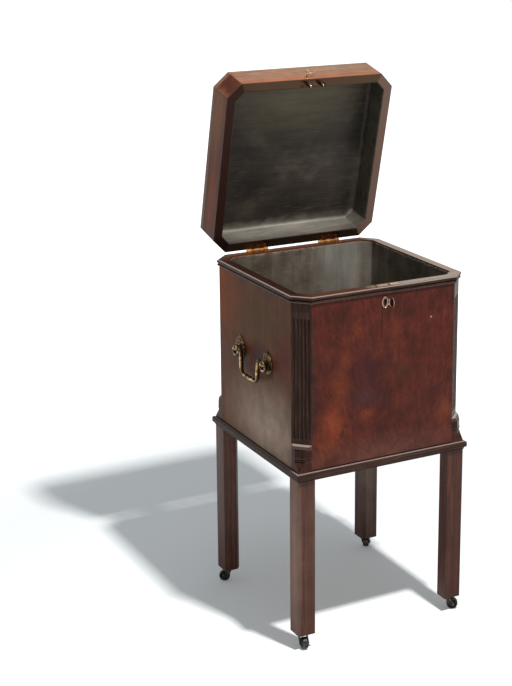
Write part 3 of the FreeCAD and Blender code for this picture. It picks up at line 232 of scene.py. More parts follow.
def wood(name, colours, axis, gloss, specular, grain=3.0 * MM, run=110 * MM, on_lid=False,
         zones=(), fray=9 * MM, rim=(), mottle=0.16, contrast=0.1, feather=0.0, hollow=0.0):
    """Mahogany under old wax polish: long dark pores and soft brown-red streaks along the grain.

    grain is the width of a streak and run its length. Both are several times the real pores,
    which are a quarter of a millimetre wide and would not show. mottle is the strength of the
    cloudy light and dark of the figure, contrast that of the fibres and feather that of a fork's.
    Zones follow the figure, and rim holds those that lie over it. hollow is how deep the carved
    and moulded hollows are that an occlusion pass darkens with painted shade.
    """
    material, tree, place = start_material(name)
    if on_lid:
        place = closed_place(tree, place)
    warp = add(tree, "TexNoise", {"Scale": BEND_SPOTS, "Detail": 2.0}, {"Vector": place})
    bent = add(tree, "VectorMath", {"operation": "MULTIPLY_ADD", 1: (GRAIN_BEND,) * 3},
               {0: warp.outputs["Color"], 2: place}).outputs[0]
    colour = add(tree, "ValToRGB", {"stops": list(zip(GRAIN_STOPS, colours))},
                 {"Fac": strokes(tree, bent, axis, grain, run, 4.0, 0.62)}).outputs[0]
    cloud = add(tree, "TexNoise", {"Scale": CLOUD_SPOTS, "Detail": 4.0, "Roughness": 0.6},
                {"Vector": place}).outputs[0]
    colour = tinted(tree, place, colour, zones, fray)
    colour = shaded(tree, colour, cloud, 1 - mottle, 1 + mottle)
    fibres = strokes(tree, bent, axis, FIBRE_WIDTH, FIBRE_RUN, 3.0, 0.7)
    colour = shaded(tree, colour, fibres, 1 - contrast, 1 + contrast)
    if feather:
        colour = shaded(tree, colour, feathers(tree, place, CROTCH_LINE), 1 - feather, 1 + feather)
    colour = tinted(tree, place, colour, rim, core=0.6)
    # Painted shade: an occlusion pass darkens the hollows.
    if hollow:
        sunk = add(tree, "AmbientOcclusion", {"samples": 8, "only_local": True, "Distance": hollow})
        colour = shaded(tree, colour, sunk.outputs["AO"], HOLLOW_SHADE, 1.0, (0.35, 0.9))
    pores = strokes(tree, place, axis, PORE_WIDTH, PORE_RUN, 2.0)
    rough = add(tree, "MapRange", {"To Min": gloss - 0.07, "To Max": gloss + 0.12}, {"Value": cloud})
    edges = add(tree, "Bevel", {"samples": 4, "Radius": WORN_EDGE})
    bump = add(tree, "Bump", {"Strength": 0.12, "Distance": 0.2 * MM},
               {"Height": pores, "Normal": edges.outputs[0]})
    surface = add(tree, "BsdfPrincipled", {"Specular IOR Level": specular, "IOR": 1.5},
                  {"Base Color": colour, "Roughness": rough.outputs[0], "Normal": bump.outputs[0]})
    return finish_material(material, tree, surface)


# The rim of the case: painted shade where the lid shades it, and a painted grey sheen on the right and
# in front.
RIM_SKIN = 1.2 * MM                  # how deep the tone of a rim goes
CASE_RIM_SKIN = 1.5 * RIM_SKIN
CASE_RIM = [band("#4a2c20", RIM, CASE_RIM_SKIN, 0.85),
            ("#20110e", (LEFT, MIDDLE_Y - 20 * MM, RIM), (0.05, 0.22, CASE_RIM_SKIN), 0.9),
            ("#897c71", (RIGHT, MIDDLE_Y, RIM), (0.045, 0.22, CASE_RIM_SKIN), 0.8),
            ("#857b6d", (0.12, FRONT + 6 * MM, RIM), (0.12, 0.03, CASE_RIM_SKIN), 0.75)]
# Painted shade darkens the joint where the case stands on its stand.
CASE_FOOT_SHADE = [band("#140b08", STAND_TOP, 3.6 * MM, 0.9)]

# Solid mahogany of the framing: plain, dark and even, with a soft wax shine.
DEEP = ("#2c1813", "#43281f", "#573529")
RAIL_WOOD = wood("polished_mahogany_grain_along_x", DEEP, X_GRAIN, 0.34, 0.12)
SIDE_RAIL_WOOD = wood("polished_mahogany_grain_along_y", DEEP, Y_GRAIN, 0.34, 0.15)
# The posts are darker still, with flutes that painted shade in their hollows makes near-black.
POST_WOOD = wood("polished_mahogany_upright_grain", ("#261813", "#3d2a23", "#523e36"), Z_GRAIN,
                 0.36, 0.06, rim=CASE_RIM, hollow=3.0 * MM)
# Painted highlights make the arrises of the mouldings paler than the rest, and painted shade darkens
# their hollows.
ARRIS_HIGHLIGHTS = [band("#9c8a80", z, 0.7 * MM, 0.7)
                for z in (STAND_MOULDING_HEAD, MOULDING_FOOT + 0.5 * MM, MOULDING_HEAD - 0.5 * MM)]
MOULDING_WOOD = wood("polished_mahogany_mouldings", ("#2a1a16", "#3c2822", "#4e372e"), X_GRAIN,
                     0.34, 0.06, rim=ARRIS_HIGHLIGHTS, hollow=2.5 * MM)
# A painted highlight lies on the scoop of a bracket, and painted shade on its neck, in the cuts below
# it and in its hollows.
CARVING_LIGHT_AND_SHADE = [band(tone, STAND_TOP + z * MM, high * MM, strength) for tone, z, high, strength in (
    ("#55443d", 47.5, 4.5, 0.6), ("#9a8a80", 50.9, 1.6, 0.8), ("#231411", 35.0, 8.5, 0.7),
    ("#170c0a", 24.8, 1.6, 0.8), ("#3a1d16", 12.0, 8.0, 0.6))]
CARVED_WOOD = wood("carved_mahogany", DEEP, Z_GRAIN, 0.3, 0.07, rim=CARVING_LIGHT_AND_SHADE, contrast=0.05,
                   hollow=3.0 * MM)
# The legs are straight-grained. Their left sides, the back ones and the front left one's face are
# painted lighter, and the front right one darker, as light and shade.
LEG_LIGHT_AND_SHADE = [
    ("#8a6858", (LEG_LEFT, LEG_FRONT + 0.5 * LEG_WIDTH, 0.20), (0.012, 0.04, 0.32), 0.9),
    ("#6b5249", (LEG_LEFT, BACK, 0.24), (0.05, 0.06, 0.26), 0.6),
    ("#7d6a62", (RIGHT - 30 * MM, BACK - 30 * MM, 0.26), (0.05, 0.05, 0.3), 0.8),
    ("#7a5a4c", (LEG_LEFT + LEG_WIDTH, LEG_FRONT, 0.22), (0.05, 0.008, 0.3), 0.25),
    ("#3b211a", (RIGHT, FRONT, 0.12), (0.06, 0.06, 0.24), 0.5)]
LEG_WOOD = wood("polished_mahogany_legs", ("#321c16", "#4b2b21", "#5e392c"), Z_GRAIN, 0.4, 0.15,
                grain=5 * MM, run=300 * MM, zones=LEG_LIGHT_AND_SHADE, fray=3 * MM)

# The feathered figure of veneer cut where the trunk forks: orange flames round a purple heart.
# Tone, place across and up, half width and half height in mm, and strength.
CROTCH_FIGURE = [(tone, (x * MM, FRONT, z * MM), (wide * MM, THROUGH, high * MM), strength)
                 for tone, x, z, wide, high, strength in (
    ("#76341d", -112, 440, 46, 75, 0.85), ("#6f3520", -126, 392, 36, 44, 0.7),
    ("#6c311c", -93, 517, 36, 52, 0.7), ("#602a1a", -82, 577, 22, 60, 0.5),
    ("#68301b", -59, 624, 18, 30, 0.65), ("#3c1a1b", -33, 528, 56, 100, 0.7),
    ("#6e331c", -35, 453, 20, 22, 0.6), ("#68301a", -14, 576, 22, 26, 0.55),
    ("#642c1a", 32, 517, 26, 24, 0.5), ("#66301c", 28, 610, 20, 22, 0.5),
    ("#6a361f", 134, 430, 26, 45, 0.55), ("#5b362c", 0, 373, 260, 55, 0.8),
    ("#42282a", -37, 490, 60, 26, 0.5), ("#33210f", 40, 530, 26, 26, 0.5),
    ("#4f1c15", 95, 590, 70, 90, 0.4), ("#2e1412", 10, 698, 190, 14, 0.6),
    ("#3b2220", -153, 520, 14, 200, 0.7), ("#2a120f", -80, 440, 9, 14, 0.6),
    ("#2a120f", -90, 425, 9, 14, 0.6), ("#2a120f", -70, 455, 9, 12, 0.5))]
# An old shrinkage crack below the lock, and a small bruise.
OLD_MARKS = [("#240f0c", (-6 * MM, FRONT, 0.630), (1.3 * MM, THROUGH, 0.054), 0.85),
             ("#b08c76", (103 * MM, FRONT, 0.627), (2.6 * MM, THROUGH, 2.2 * MM), 0.9)]
FRONT_VENEER = wood("crotch_mahogany_veneer_polished", ("#411a12", "#4b1f16", "#54251a"), Z_GRAIN,
                    0.34, 0.09, grain=7 * MM, run=30 * MM, zones=CROTCH_FIGURE, fray=13 * MM,
                    rim=OLD_MARKS + CASE_RIM + CASE_FOOT_SHADE, mottle=0.3, contrast=0.06, feather=0.2)

# The sides have bleached to a greyish brown low down, with red and olive left near the rim.
FADED_FIGURE_AND_BAIL_SHADOW = [
    ("#a68d7d", (LEFT, FRONT + 122 * MM, STAND_TOP + 55 * MM), (SIDE_TO_SIDE, 0.24, 0.12), 0.95),
    ("#86421f", (LEFT, BACK - 30 * MM, RIM - 50 * MM), (SIDE_TO_SIDE, 0.13, 0.15), 0.85),
    ("#4a3518", (LEFT, MIDDLE_Y - 20 * MM, RIM - 70 * MM), (SIDE_TO_SIDE, 0.11, 0.08), 0.6),
    ("#5c2416", (LEFT, FRONT + 56 * MM, STAND_TOP + 215 * MM), (SIDE_TO_SIDE, 0.07, 0.075), 0.8),
    ("#5b2716", (LEFT, MIDDLE_Y, STAND_TOP + 190 * MM), (SIDE_TO_SIDE, 0.18, 0.035), 0.55),
    ("#6a4336", (LEFT, BACK - 20 * MM, STAND_TOP + 110 * MM), (SIDE_TO_SIDE, 0.08, 0.10), 0.5),
    # Painted shadow of the bail on the wall between its arms.
    ("#2e2023", (LEFT, MIDDLE_Y - 20 * MM, STAND_TOP + 176 * MM), (SIDE_TO_SIDE, 0.06, 0.05), 0.6)]
# Painted shadows of the rosettes and pommels of the handles, most of it below and in front.
ROSETTE_SHADOWS = [("#170d10", (LEFT, BAIL_MIDDLE.y + side * HALF_POMMEL_SPACING - 9 * MM,
                              BAIL_MIDDLE.z - 9 * MM), (SIDE_TO_SIDE, 0.030, 0.036), 0.9)
                 for side in (-1, 1)]
SIDE_VENEER = wood("faded_mahogany_veneer_waxed", ("#543120", "#603b24", "#6b432a"), Z_GRAIN,
                   0.42, 0.04, grain=14 * MM, run=200 * MM, zones=FADED_FIGURE_AND_BAIL_SHADOW + ROSETTE_SHADOWS,
                   fray=16 * MM, rim=CASE_RIM + CASE_FOOT_SHADE, mottle=0.22, contrast=0.05)

# The lid's long grain is golden, redder along its edge, with a rim that is dark behind.
LID_FIGURE = [("#884622", (0, FRONT, LID_FOOT + 6 * MM), (0.5, 0.02, 0.020), 0.8),
              ("#7b6a52", (0.06, FRONT, LID_FOOT + 50 * MM), (0.13, 0.02, 0.02), 0.5)]
LID_RIM = [band("#48321f", LID_FOOT, RIM_SKIN, 1.0),
           ("#170d0a", (0, BACK, LID_FOOT), (0.4, 0.03, RIM_SKIN), 0.85),
           ("#241511", (LEFT, 0, LID_FOOT), (0.12, 0.25, RIM_SKIN), 1.0)]
LID_VENEER = wood("mahogany_lid_veneer_grain_along_x", ("#543a2b", "#744f38", "#8f6a4d"), X_GRAIN,
                  0.4, 0.15, grain=3.5 * MM, run=170 * MM, on_lid=True, zones=LID_FIGURE,
                  fray=4 * MM, rim=LID_RIM, mottle=0.2)
# Its sides and corners are redder, with one deep brown corner in front and a pale right rim.
LID_SIDE_FIGURE = [
    ("#8c3d1e", (LEFT, MIDDLE_Y + 60 * MM, LID_FOOT + 30 * MM), (0.05, 0.13, 0.024), 0.7),
    ("#986445", (LEFT, FRONT + 60 * MM, LID_FOOT + 36 * MM), (0.014, 0.14, 0.05), 0.8),
    ("#471c10", (LEFT + 14 * MM, FRONT + 12 * MM, LID_FOOT + 33 * MM), (0.034, 0.032, 0.12), 0.95)]
LID_SIDE_RIM = [band("#2c1812", LID_FOOT, RIM_SKIN, 1.0),
                ("#170d0a", (0, BACK, LID_FOOT), (0.4, 0.05, RIM_SKIN), 0.85),
                ("#6e564a", (RIGHT, 0, LID_FOOT), (0.1, ALL_ROUND, RIM_SKIN), 1.0)]
LID_SIDE_VENEER = wood("mahogany_lid_veneer_grain_along_y", ("#44241a", "#5e3322", "#70412b"),
                       Y_GRAIN, 0.42, 0.08, grain=6 * MM, run=160 * MM, on_lid=True,
                       zones=LID_SIDE_FIGURE, rim=LID_SIDE_RIM)
# The bottom board is bare pine, pale, dry and without a shine.
PINE = wood("sawn_pine", ("#6b4d31", "#86643f", "#9a774e"), X_GRAIN, 0.7, 0.15)


# ---- lead ----
OXIDE_STOPS = (0.34, 0.52, 0.72)
OXIDE_SPOTS = 11.0                   # of 90 mm
DENT_SPOTS = 55.0                    # of 18 mm
OXIDE_FRAY = 14 * MM


def lead(name, tones, streaks, scores, scored, zones, on_lid=False):
    """Dressed lead sheet: a dull grey skin of oxide, with streaks, bruises and fine scratches.

    streaks and scores are how many of them lie in a metre along X, Y and Z.
    """
    material, tree, place = start_material(name)
    if on_lid:
        place = closed_place(tree, place)
    cloud = add(tree, "TexNoise", {"Scale": OXIDE_SPOTS, "Detail": 5.0, "Roughness": 0.6},
                {"Vector": place}).outputs[0]
    colour = add(tree, "ValToRGB", {"stops": list(zip(OXIDE_STOPS, tones))},
                 {"Fac": cloud}).outputs[0]
    colour = tinted(tree, place, colour, zones, OXIDE_FRAY)
    drawn = add(tree, "Mapping", {"Scale": streaks}, {"Vector": place})
    streak = add(tree, "TexNoise", {"Scale": 1.0, "Detail": 4.0}, {"Vector": drawn.outputs[0]})
    colour = shaded(tree, colour, streak.outputs[0], 0.8, 1.15)
    rubbed = add(tree, "Mapping", {"Scale": scores, "Rotation": (0.0, 0.12, 0.1)},
                 {"Vector": place})
    scratch = add(tree, "TexNoise", {"Scale": 1.0, "Detail": 1.0}, {"Vector": rubbed.outputs[0]})
    lines = add(tree, "MapRange", {"From Min": 0.6, "From Max": 0.74, "To Max": scored},
                {"Value": scratch.outputs[0]})
    colour = add(tree, "Mix", {"data_type": "RGBA", 7: tones[-1]},
                 {0: lines.outputs[0], 6: colour}).outputs[2]
    dents = add(tree, "TexNoise", {"Scale": DENT_SPOTS, "Detail": 3.0}, {"Vector": place})
    bump = add(tree, "Bump", {"Strength": 0.3, "Distance": 0.8 * MM}, {"Height": dents.outputs[0]})
    rough = add(tree, "MapRange", {"To Min": 0.42, "To Max": 0.66}, {"Value": cloud})
    surface = add(tree, "BsdfPrincipled", {"Metallic": 0.35, "Specular IOR Level": 0.35},
                  {"Base Color": colour, "Roughness": rough.outputs[0], "Normal": bump.outputs[0]})
    return finish_material(material, tree, surface)


# The case's lead is grey, with a painted pale reflection on the right of its back wall, a brown patch
# on its left and a bright cut edge.
CASE_OXIDE_AND_SHEEN = [("#8b8a80", (0.10, BACK - WALL, RIM), (0.10, 0.04, 0.20), 0.7),
              ("#5a4f40", (-0.10, BACK - WALL, RIM - 60 * MM), (0.12, 0.04, 0.08), 0.6),
              band("#a39c92", LEAD_EDGE, 1.6 * MM, 0.7)]
CASE_LEAD = lead("dressed_lead_sheet_case", ("#4c443a", "#6d6256", "#8c8276"), (70, 70, 8),
                 (30, 30, 380), 0.4, CASE_OXIDE_AND_SHEEN)
# The lid's is nearly black, olive by the front and pale grey on the walls behind and right.
LID_OXIDE = [
    ("#5e563f", (0, FRONT + 60 * MM, LID_FOOT + LID_HEIGHT), (0.22, 0.12, 0.08), 0.8),
    ("#857f75", (0, BACK - WALL, LID_FOOT + 34 * MM), (0.30, 0.03, 0.06), 0.95),
    ("#7a7466", (RIGHT, 0, LID_FOOT + 20 * MM), (0.045, 0.5, 0.09), 0.85),
    ("#221d19", (RIGHT - 21 * MM, FRONT + 110 * MM, LID_FOOT + 54 * MM), (0.018, 0.20, 0.018), 0.9)]
LID_LEAD = lead("dressed_lead_sheet_lid", ("#29231e", "#372f28", "#544b40"), (14, 90, 90),
                (26, 330, 330), 0.55, LID_OXIDE, on_lid=True)


# ---- brass and iron ----
TARNISH_SPOTS = 130.0                # of 8 mm
HIGHLIGHT_EDGE = 1.2 * MM               # how softly the side painted bright as a highlight begins


def brass(name, bright, dull, recess, tarnish, gloss, blackened=(), lit_from=0.0):
    """Cast and lacquered brass with age: bright and dull in spots of tarnish, brown-black in its
    hollows.

    tarnish is the grey of its spots at which bright turns to dull, and gloss its roughness.
    The last argument is how far from the middle of the case the side begins that is painted bright, as
    a highlight.
    """
    material, tree, place = start_material(name)
    cloud = add(tree, "TexNoise", {"Scale": TARNISH_SPOTS, "Detail": 4.0, "Roughness": 0.6},
                {"Vector": place}).outputs[0]
    tone = cloud
    # Painted highlight: the outer side is made brighter and the inner side duller.
    if lit_from:
        across = add(tree, "SeparateXYZ", links={0: place}).outputs["X"]
        off = add(tree, "Math", {"operation": "ABSOLUTE"}, {0: across})
        painted_light_shift = add(tree, "MapRange", {"From Min": lit_from - HIGHLIGHT_EDGE,
                                           "From Max": lit_from + HIGHLIGHT_EDGE,
                                           "To Min": 0.14, "To Max": -0.16},
                        {"Value": off.outputs[0]})
        tone = add(tree, "Math", {"operation": "ADD"}, {0: cloud, 1: painted_light_shift.outputs[0]}).outputs[0]
    colour = add(tree, "ValToRGB", {"stops": [(tarnish - 0.14, bright), (tarnish + 0.1, dull)]},
                 {"Fac": tone}).outputs[0]
    crests = add(tree, "NewGeometry").outputs["Pointiness"]
    sunk = add(tree, "ValToRGB", {"stops": [(0.44, 1.0), (0.52, 0.0)]}, {"Fac": crests}).outputs[0]
    colour = add(tree, "Mix", {"data_type": "RGBA", 7: recess}, {0: sunk, 6: colour}).outputs[2]
    colour = tinted(tree, place, colour, blackened, core=0.8)
    rough = add(tree, "MapRange", {"To Min": gloss - 0.08, "To Max": gloss + 0.18}, {"Value": cloud})
    bump = add(tree, "Bump", {"Strength": 0.25, "Distance": 0.15 * MM}, {"Height": cloud})
    surface = add(tree, "BsdfPrincipled", {"Metallic": 1.0},
                  {"Base Color": colour, "Roughness": rough.outputs[0], "Normal": bump.outputs[0]})
    return finish_material(material, tree, surface)


# The handles: mottled gold and brown, with bails painted bright on the outside as a highlight
# and thin stamped rosettes that have gone nearly black in their veins.
HANDLE_BRASS = brass("aged_cast_brass", "#bd9c6a", "#45331f", "#110c08", 0.43, 0.2)
BAIL_BRASS = brass("aged_cast_brass_highlight_outside", "#c9a56e", "#35261a", "#110c08", 0.42, 0.2,
                   lit_from=abs(BAIL_MIDDLE.x) + 3.0 * MM)
PLATE_BRASS = brass("tarnished_stamped_brass", "#86693c", "#33271a", "#0d0906", 0.45, 0.28)
# The pull is turned and bright, with dark necks.
PULL_BRASS = brass("rubbed_turned_brass", "#d8b98a", "#8a6436", "#2a1a10", 0.5, 0.22)
# Sheet brass of the lock: pale gold with a satin shine.
PALE_BRASS = brass("rubbed_brass_sheet", "#cdb384", "#957848", "#33261a", 0.5, 0.28)
# The hooks of the link plate are rubbed to copper pink, and the plate they stand on is black.
LINK_PLATE_MIDDLE = OPENED @ Vector((0, LOCK_Y, LID_FOOT))
LOCK_BRASS = brass("tarnished_lock_brass", "#c49c7c", "#5c4230", "#120c08", 0.48, 0.24,
                   blackened=[("#2b1d15", LINK_PLATE_MIDDLE, (THROUGH, 3.4 * MM, 0.02), 0.92)])
# The hinges are orange brass. The lid's leaves have gone black beyond their knuckles.
HINGE_BRASS = brass("rolled_brass_sheet", "#bd9055", "#8a6236", "#33230f", 0.5, 0.3)
LID_LEAF_MIDDLE = OPENED @ Vector((0, BACK - LEAF_SETBACK, LID_FOOT))
LEAF_BRASS = brass("rolled_brass_sheet_blackened_leaf", "#b8834a", "#86582c", "#33230f", 0.5, 0.3,
                   blackened=[("#1a1008", LID_LEAF_MIDDLE, (0.5, 0.02, 8.8 * MM), 0.88)])
# The keyhole plate and its cover have bright rims round a field that polish has left black.
KEYHOLE_BRASS = brass("rubbed_brass_keyhole_plate", "#cbac98", "#a08470", "#33261a", 0.5, 0.28,
                      blackened=[("#1a120e", (0, FRONT, PLATE_Z), (4.9 * MM, 0.1, 9.0 * MM), 0.9)])
COVER_MIDDLE = COVER_OPENED @ Vector((0, COVER_PIN.y, PLATE_Z))
COVER_BRASS = brass("rubbed_brass_keyhole_cover", "#c4a896", "#98806e", "#33261a", 0.5, 0.28,
                    blackened=[("#241a15", COVER_MIDDLE, (4.9 * MM, 4.9 * MM, 8.2 * MM), 0.9)])
# The castors are brass under black grease and dust, and the screws iron with a brown-black skin.
CASTOR_BRASS = brass("blackened_castor_brass", "#57544e", "#2c2a27", "#0c0b0a", 0.46, 0.38)
IRON = brass("blackened_iron_screws", "#54504a", "#2c2925", "#151312", 0.5, 0.45)


# ---- finishes on the model's own pieces ----
def finish_nodes(material, *names):
    """Gives pieces of the model their finish."""
    for name in names:
        mesh = frame["nodes"][name].data
        for index in range(len(mesh.materials)):
            mesh.materials[index] = material


finish_nodes(LEG_WOOD, *("leg_" + corner for corner in CORNERS))
finish_nodes(POST_WOOD, *("corner_post_" + corner for corner in CORNERS))
finish_nodes(RAIL_WOOD, "stand_rail_front", "stand_rail_back")
finish_nodes(SIDE_RAIL_WOOD, "stand_rail_left", "stand_rail_right")
finish_nodes(MOULDING_WOOD, "stand_moulding", "case_moulding")
finish_nodes(FRONT_VENEER, "case_front")
finish_nodes(SIDE_VENEER, "case_left", "case_right", "case_back")
finish_nodes(LID_VENEER, "lid_front", "lid_back", "lid_top")
finish_nodes(LID_SIDE_VENEER, "lid_left", "lid_right", "lid_corners")
finish_nodes(PINE, "case_bottom")
finish_nodes(HINGE_BRASS, "hinge_case_leaves", "hinge_pins", "handle_nuts")
finish_nodes(LEAF_BRASS, "hinge_lid_leaves")
finish_nodes(PALE_BRASS, "lock_selvedge", "escutcheon_pins", "lock_bolt", "lock_case")
finish_nodes(IRON, "stand_screws", "castor_screws")


# ---- meshes: tools ----
# Turned, cast and flat shapes are drawn in mm, and a place function puts them into the frame.
# The lead trays and the turns of whole shapes are in metres, as the frame is.
WELD = 0.001 * MM                    # points that lie closer than this become one
SHARP_EDGE = math.radians(38)        # edges that turn more than this stay crisp
CORNER_STEPS = 5


def from_point(origin, *ways):
    """A place function: so many mm along each of the ways from a point."""
    return lambda *steps: origin + sum((way * step for way, step in zip(ways, steps)), Vector()) * MM


def turns(steps):
    """Angles once round, in even steps."""
    return [2 * math.pi * k / steps for k in range(steps)]


def piece(name, shape, material, body, node):
    """Makes one piece of the object from a shape. It rides on a body and stands for a node."""
    mesh = bpy.data.meshes.new(name)
    mesh.from_pydata([tuple(point) for point in shape.vertices], [], shape.faces)
    made = bmesh.new()
    made.from_mesh(mesh)
    bmesh.ops.remove_doubles(made, verts=made.verts, dist=WELD)
    bmesh.ops.recalc_face_normals(made, faces=made.faces)
    made.to_mesh(mesh)
    made.free()
    mesh.materials.append(material)
    obj = bpy.data.objects.new(name, mesh)
    bpy.context.scene.collection.objects.link(obj)
    for face in mesh.polygons:
        face.use_smooth = True
    mesh.set_sharp_from_angle(angle=SHARP_EDGE)
    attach(obj, body)
    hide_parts(node)


class Shape:
    """Points and faces that several forms are added to before they become one piece."""

    def __init__(self):
        self.vertices, self.faces = [], []

    def rings(self, rings, capped=True):
        """Joins closed rings of points with quads, and caps the first and the last."""
        base, count = len(self.vertices), len(rings[0])
        for ring in rings:
            self.vertices += [Vector(point) for point in ring]
        top = len(self.vertices) - count
        for start in range(base, top, count):
            for i in range(count):
                a, b = start + i, start + (i + 1) % count
                self.faces.append((a, b, b + count, a + count))
        if capped:
            self.faces += [tuple(range(base, base + count)), tuple(range(top, top + count))]
        return self

    def lathe(self, profile, place, steps):
        """Turns a profile of (along, radius) about the first way of its place."""
        return self.rings([[place(along, radius * math.cos(a), radius * math.sin(a))
                            for a in turns(steps)] for along, radius in profile])

    def tube(self, points, radii, steps):
        """A round bar along points of the frame, with a radius in mm at each."""
        rings = []
        side = (points[1] - points[0]).orthogonal()
        for i, (point, radius) in enumerate(zip(points, radii)):
            ahead = (points[min(i + 1, len(points) - 1)] - points[max(i - 1, 0)]).normalized()
            side = (side - ahead * side.dot(ahead)).normalized()
            other = ahead.cross(side)
            rings.append([point + (side * math.cos(a) + other * math.sin(a)) * (radius * MM)
                          for a in turns(steps)])
        return self.rings(rings)

    def slab(self, outline, place, low, high, ease):
        """A flat plate from an outline, its edges eased. The third way of its place is its height."""
        middle = sum(outline, Vector((0, 0))) / len(outline)

        def ring(height, inset):
            return [place(*(p + (middle - p).normalized() * inset), height) for p in outline]
        return self.rings([ring(low, ease), ring(low + ease, 0), ring(high - ease, 0),
                           ring(high, ease)])

    def moved(self, matrix):
        """The same shape, turned or moved."""
        self.vertices = [matrix @ point for point in self.vertices]
        return self


def smooth_line(points, steps):
    """A smooth curve through points of any dimension, by Catmull and Rom's rule."""
    points = [Vector(p) for p in points]
    ends = [points[0] * 2 - points[1]] + points + [points[-1] * 2 - points[-2]]
    made = []
    for p0, p1, p2, p3 in zip(ends, ends[1:], ends[2:], ends[3:]):
        for t in (k / steps for k in range(steps)):
            made.append(0.5 * (p1 * 2 + (p2 - p0) * t + (p0 * 2 - p1 * 5 + p2 * 4 - p3) * t * t +
                               (p1 * 3 - p0 - p2 * 3 + p3) * t ** 3))
    return made + [points[-1]]


def rounded_box(half_a, half_b, radius):
    """Points of a rectangle with rounded corners."""
    points = []
    for number, (sa, sb) in enumerate(((1, 1), (-1, 1), (-1, -1), (1, -1))):
        for k in range(CORNER_STEPS + 1):
            a = math.radians(90 * (number + k / CORNER_STEPS))
            points.append(Vector((sa * (half_a - radius) + radius * math.cos(a),
                                  sb * (half_b - radius) + radius * math.sin(a))))
    return points


def bump_at(distance, width):
    """A soft hill of height one."""
    return math.exp(-(distance / width) ** 2)


# ---- lead linings ----
AS_DRAWN = Matrix.Identity(4)
LEAD_ROUNDING = 2.5 * MM             # radius of the lining's upright corners
LONG_SIDE_STEPS, CANT_STEPS = 30, 5
WALL_ROWS, COVE_ROWS, FLOOR_ROWS, FADE_ROWS = 18, 6, 14, 3
FLOOR_CENTRE = 0.02                  # the last ring of a floor, as a share of the whole
WIDE_DENT, SMALL_DENT = 1.0 * MM, 0.5 * MM
WIDE_DENTS, SMALL_DENTS = 9, 34      # how many lie in a metre
TRAY_GAP = 0.05 * MM                 # between the lead and the wood
RIM_EASE = 0.2 * MM


def octagon(inset):
    """The canted outline of the case, moved in and with rounded corners, as points about (0, 0)."""
    wide, deep = HALF_WIDTH - inset, HALF_DEPTH - inset
    cut = CANT - inset * (2 - math.sqrt(2))
    corners = [Vector(p) for p in (
        (-wide + cut, -deep), (wide - cut, -deep), (wide, -deep + cut), (wide, deep - cut),
        (wide - cut, deep), (-wide + cut, deep), (-wide, deep - cut), (-wide, -deep + cut))]
    reach = LEAD_ROUNDING * math.tan(math.radians(22.5))
    points = []
    for side, corner in enumerate(corners):
        before, after = corners[side - 1], corners[(side + 1) % 8]
        first = corner + (before - corner).normalized() * reach
        last = corner + (after - corner).normalized() * reach
        stop = after + (corner - after).normalized() * reach
        steps = CANT_STEPS if side % 2 else LONG_SIDE_STEPS
        points += [first, (first + last + corner * 2) / 4]
        points += [last.lerp(stop, k / steps) for k in range(steps)]
    return points


def dent(point, seed):
    """How far a beaten sheet stands off its wall at a point."""
    place = point + Vector((seed, seed, seed))
    wide = 0.5 + 0.5 * noise.noise(place * WIDE_DENTS)
    small = 0.5 + 0.5 * noise.noise(place * SMALL_DENTS)
    return WIDE_DENT * wide + SMALL_DENT * small


def lead_tray(name, node, rim, floor, cove, material, body, turn, seed):
    """A tray of lead sheet with a closed skin, dressed into the corners and a little dented."""
    deeper = 1 if floor > rim else -1
    inner_floor = floor - deeper * LEAD
    bottom = inner_floor - deeper * cove
    outer, inner = WALL + TRAY_GAP, WALL + LEAD

    def ring(inset, z, share=1.0, dented=0.0):
        """A ring of the skin. Dents push a wall in and the floor up."""
        made = []
        for x, y in octagon(inset):
            point = Vector((x * share, y * share + MIDDLE_Y, z))
            way = -Vector((x, y, 0)).normalized() if share == 1.0 else UP * -deeper
            made.append(point + way * (dent(point, seed) * dented))
        return made

    rings = [ring(outer, floor, FLOOR_CENTRE), ring(outer, floor), ring(outer, rim),
             ring(outer + 0.3 * LEAD, rim - deeper * RIM_EASE), ring(inner - 0.2 * LEAD, rim)]
    rings += [ring(inner, rim + (bottom - rim) * k / WALL_ROWS, dented=min(1.0, k / FADE_ROWS))
              for k in range(WALL_ROWS + 1)]
    for k in range(1, COVE_ROWS):
        a = math.radians(90 * k / COVE_ROWS)
        rings.append(ring(inner + cove * (1 - math.cos(a)), bottom + deeper * cove * math.sin(a),
                          dented=1 - k / COVE_ROWS))
    rings += [ring(inner + cove, inner_floor, 1.0 - (1.0 - FLOOR_CENTRE) * k / FLOOR_ROWS,
                   min(1.0, k / FADE_ROWS)) for k in range(FLOOR_ROWS + 1)]
    piece(name, Shape().rings(rings).moved(turn), material, body, node)


lead_tray("case_lead_tray", "case_lining", LEAD_EDGE, LINING_FLOOR, 2.0 * MM, CASE_LEAD,
          "case", AS_DRAWN, 3.1)
lead_tray("lid_lead_tray", "lid_lining", LID_FOOT + 1.0 * MM, LID_FOOT + LID_HEIGHT - LID_BOARD,
          8.0 * MM, LID_LEAD, "lid", OPENED, 7.7)


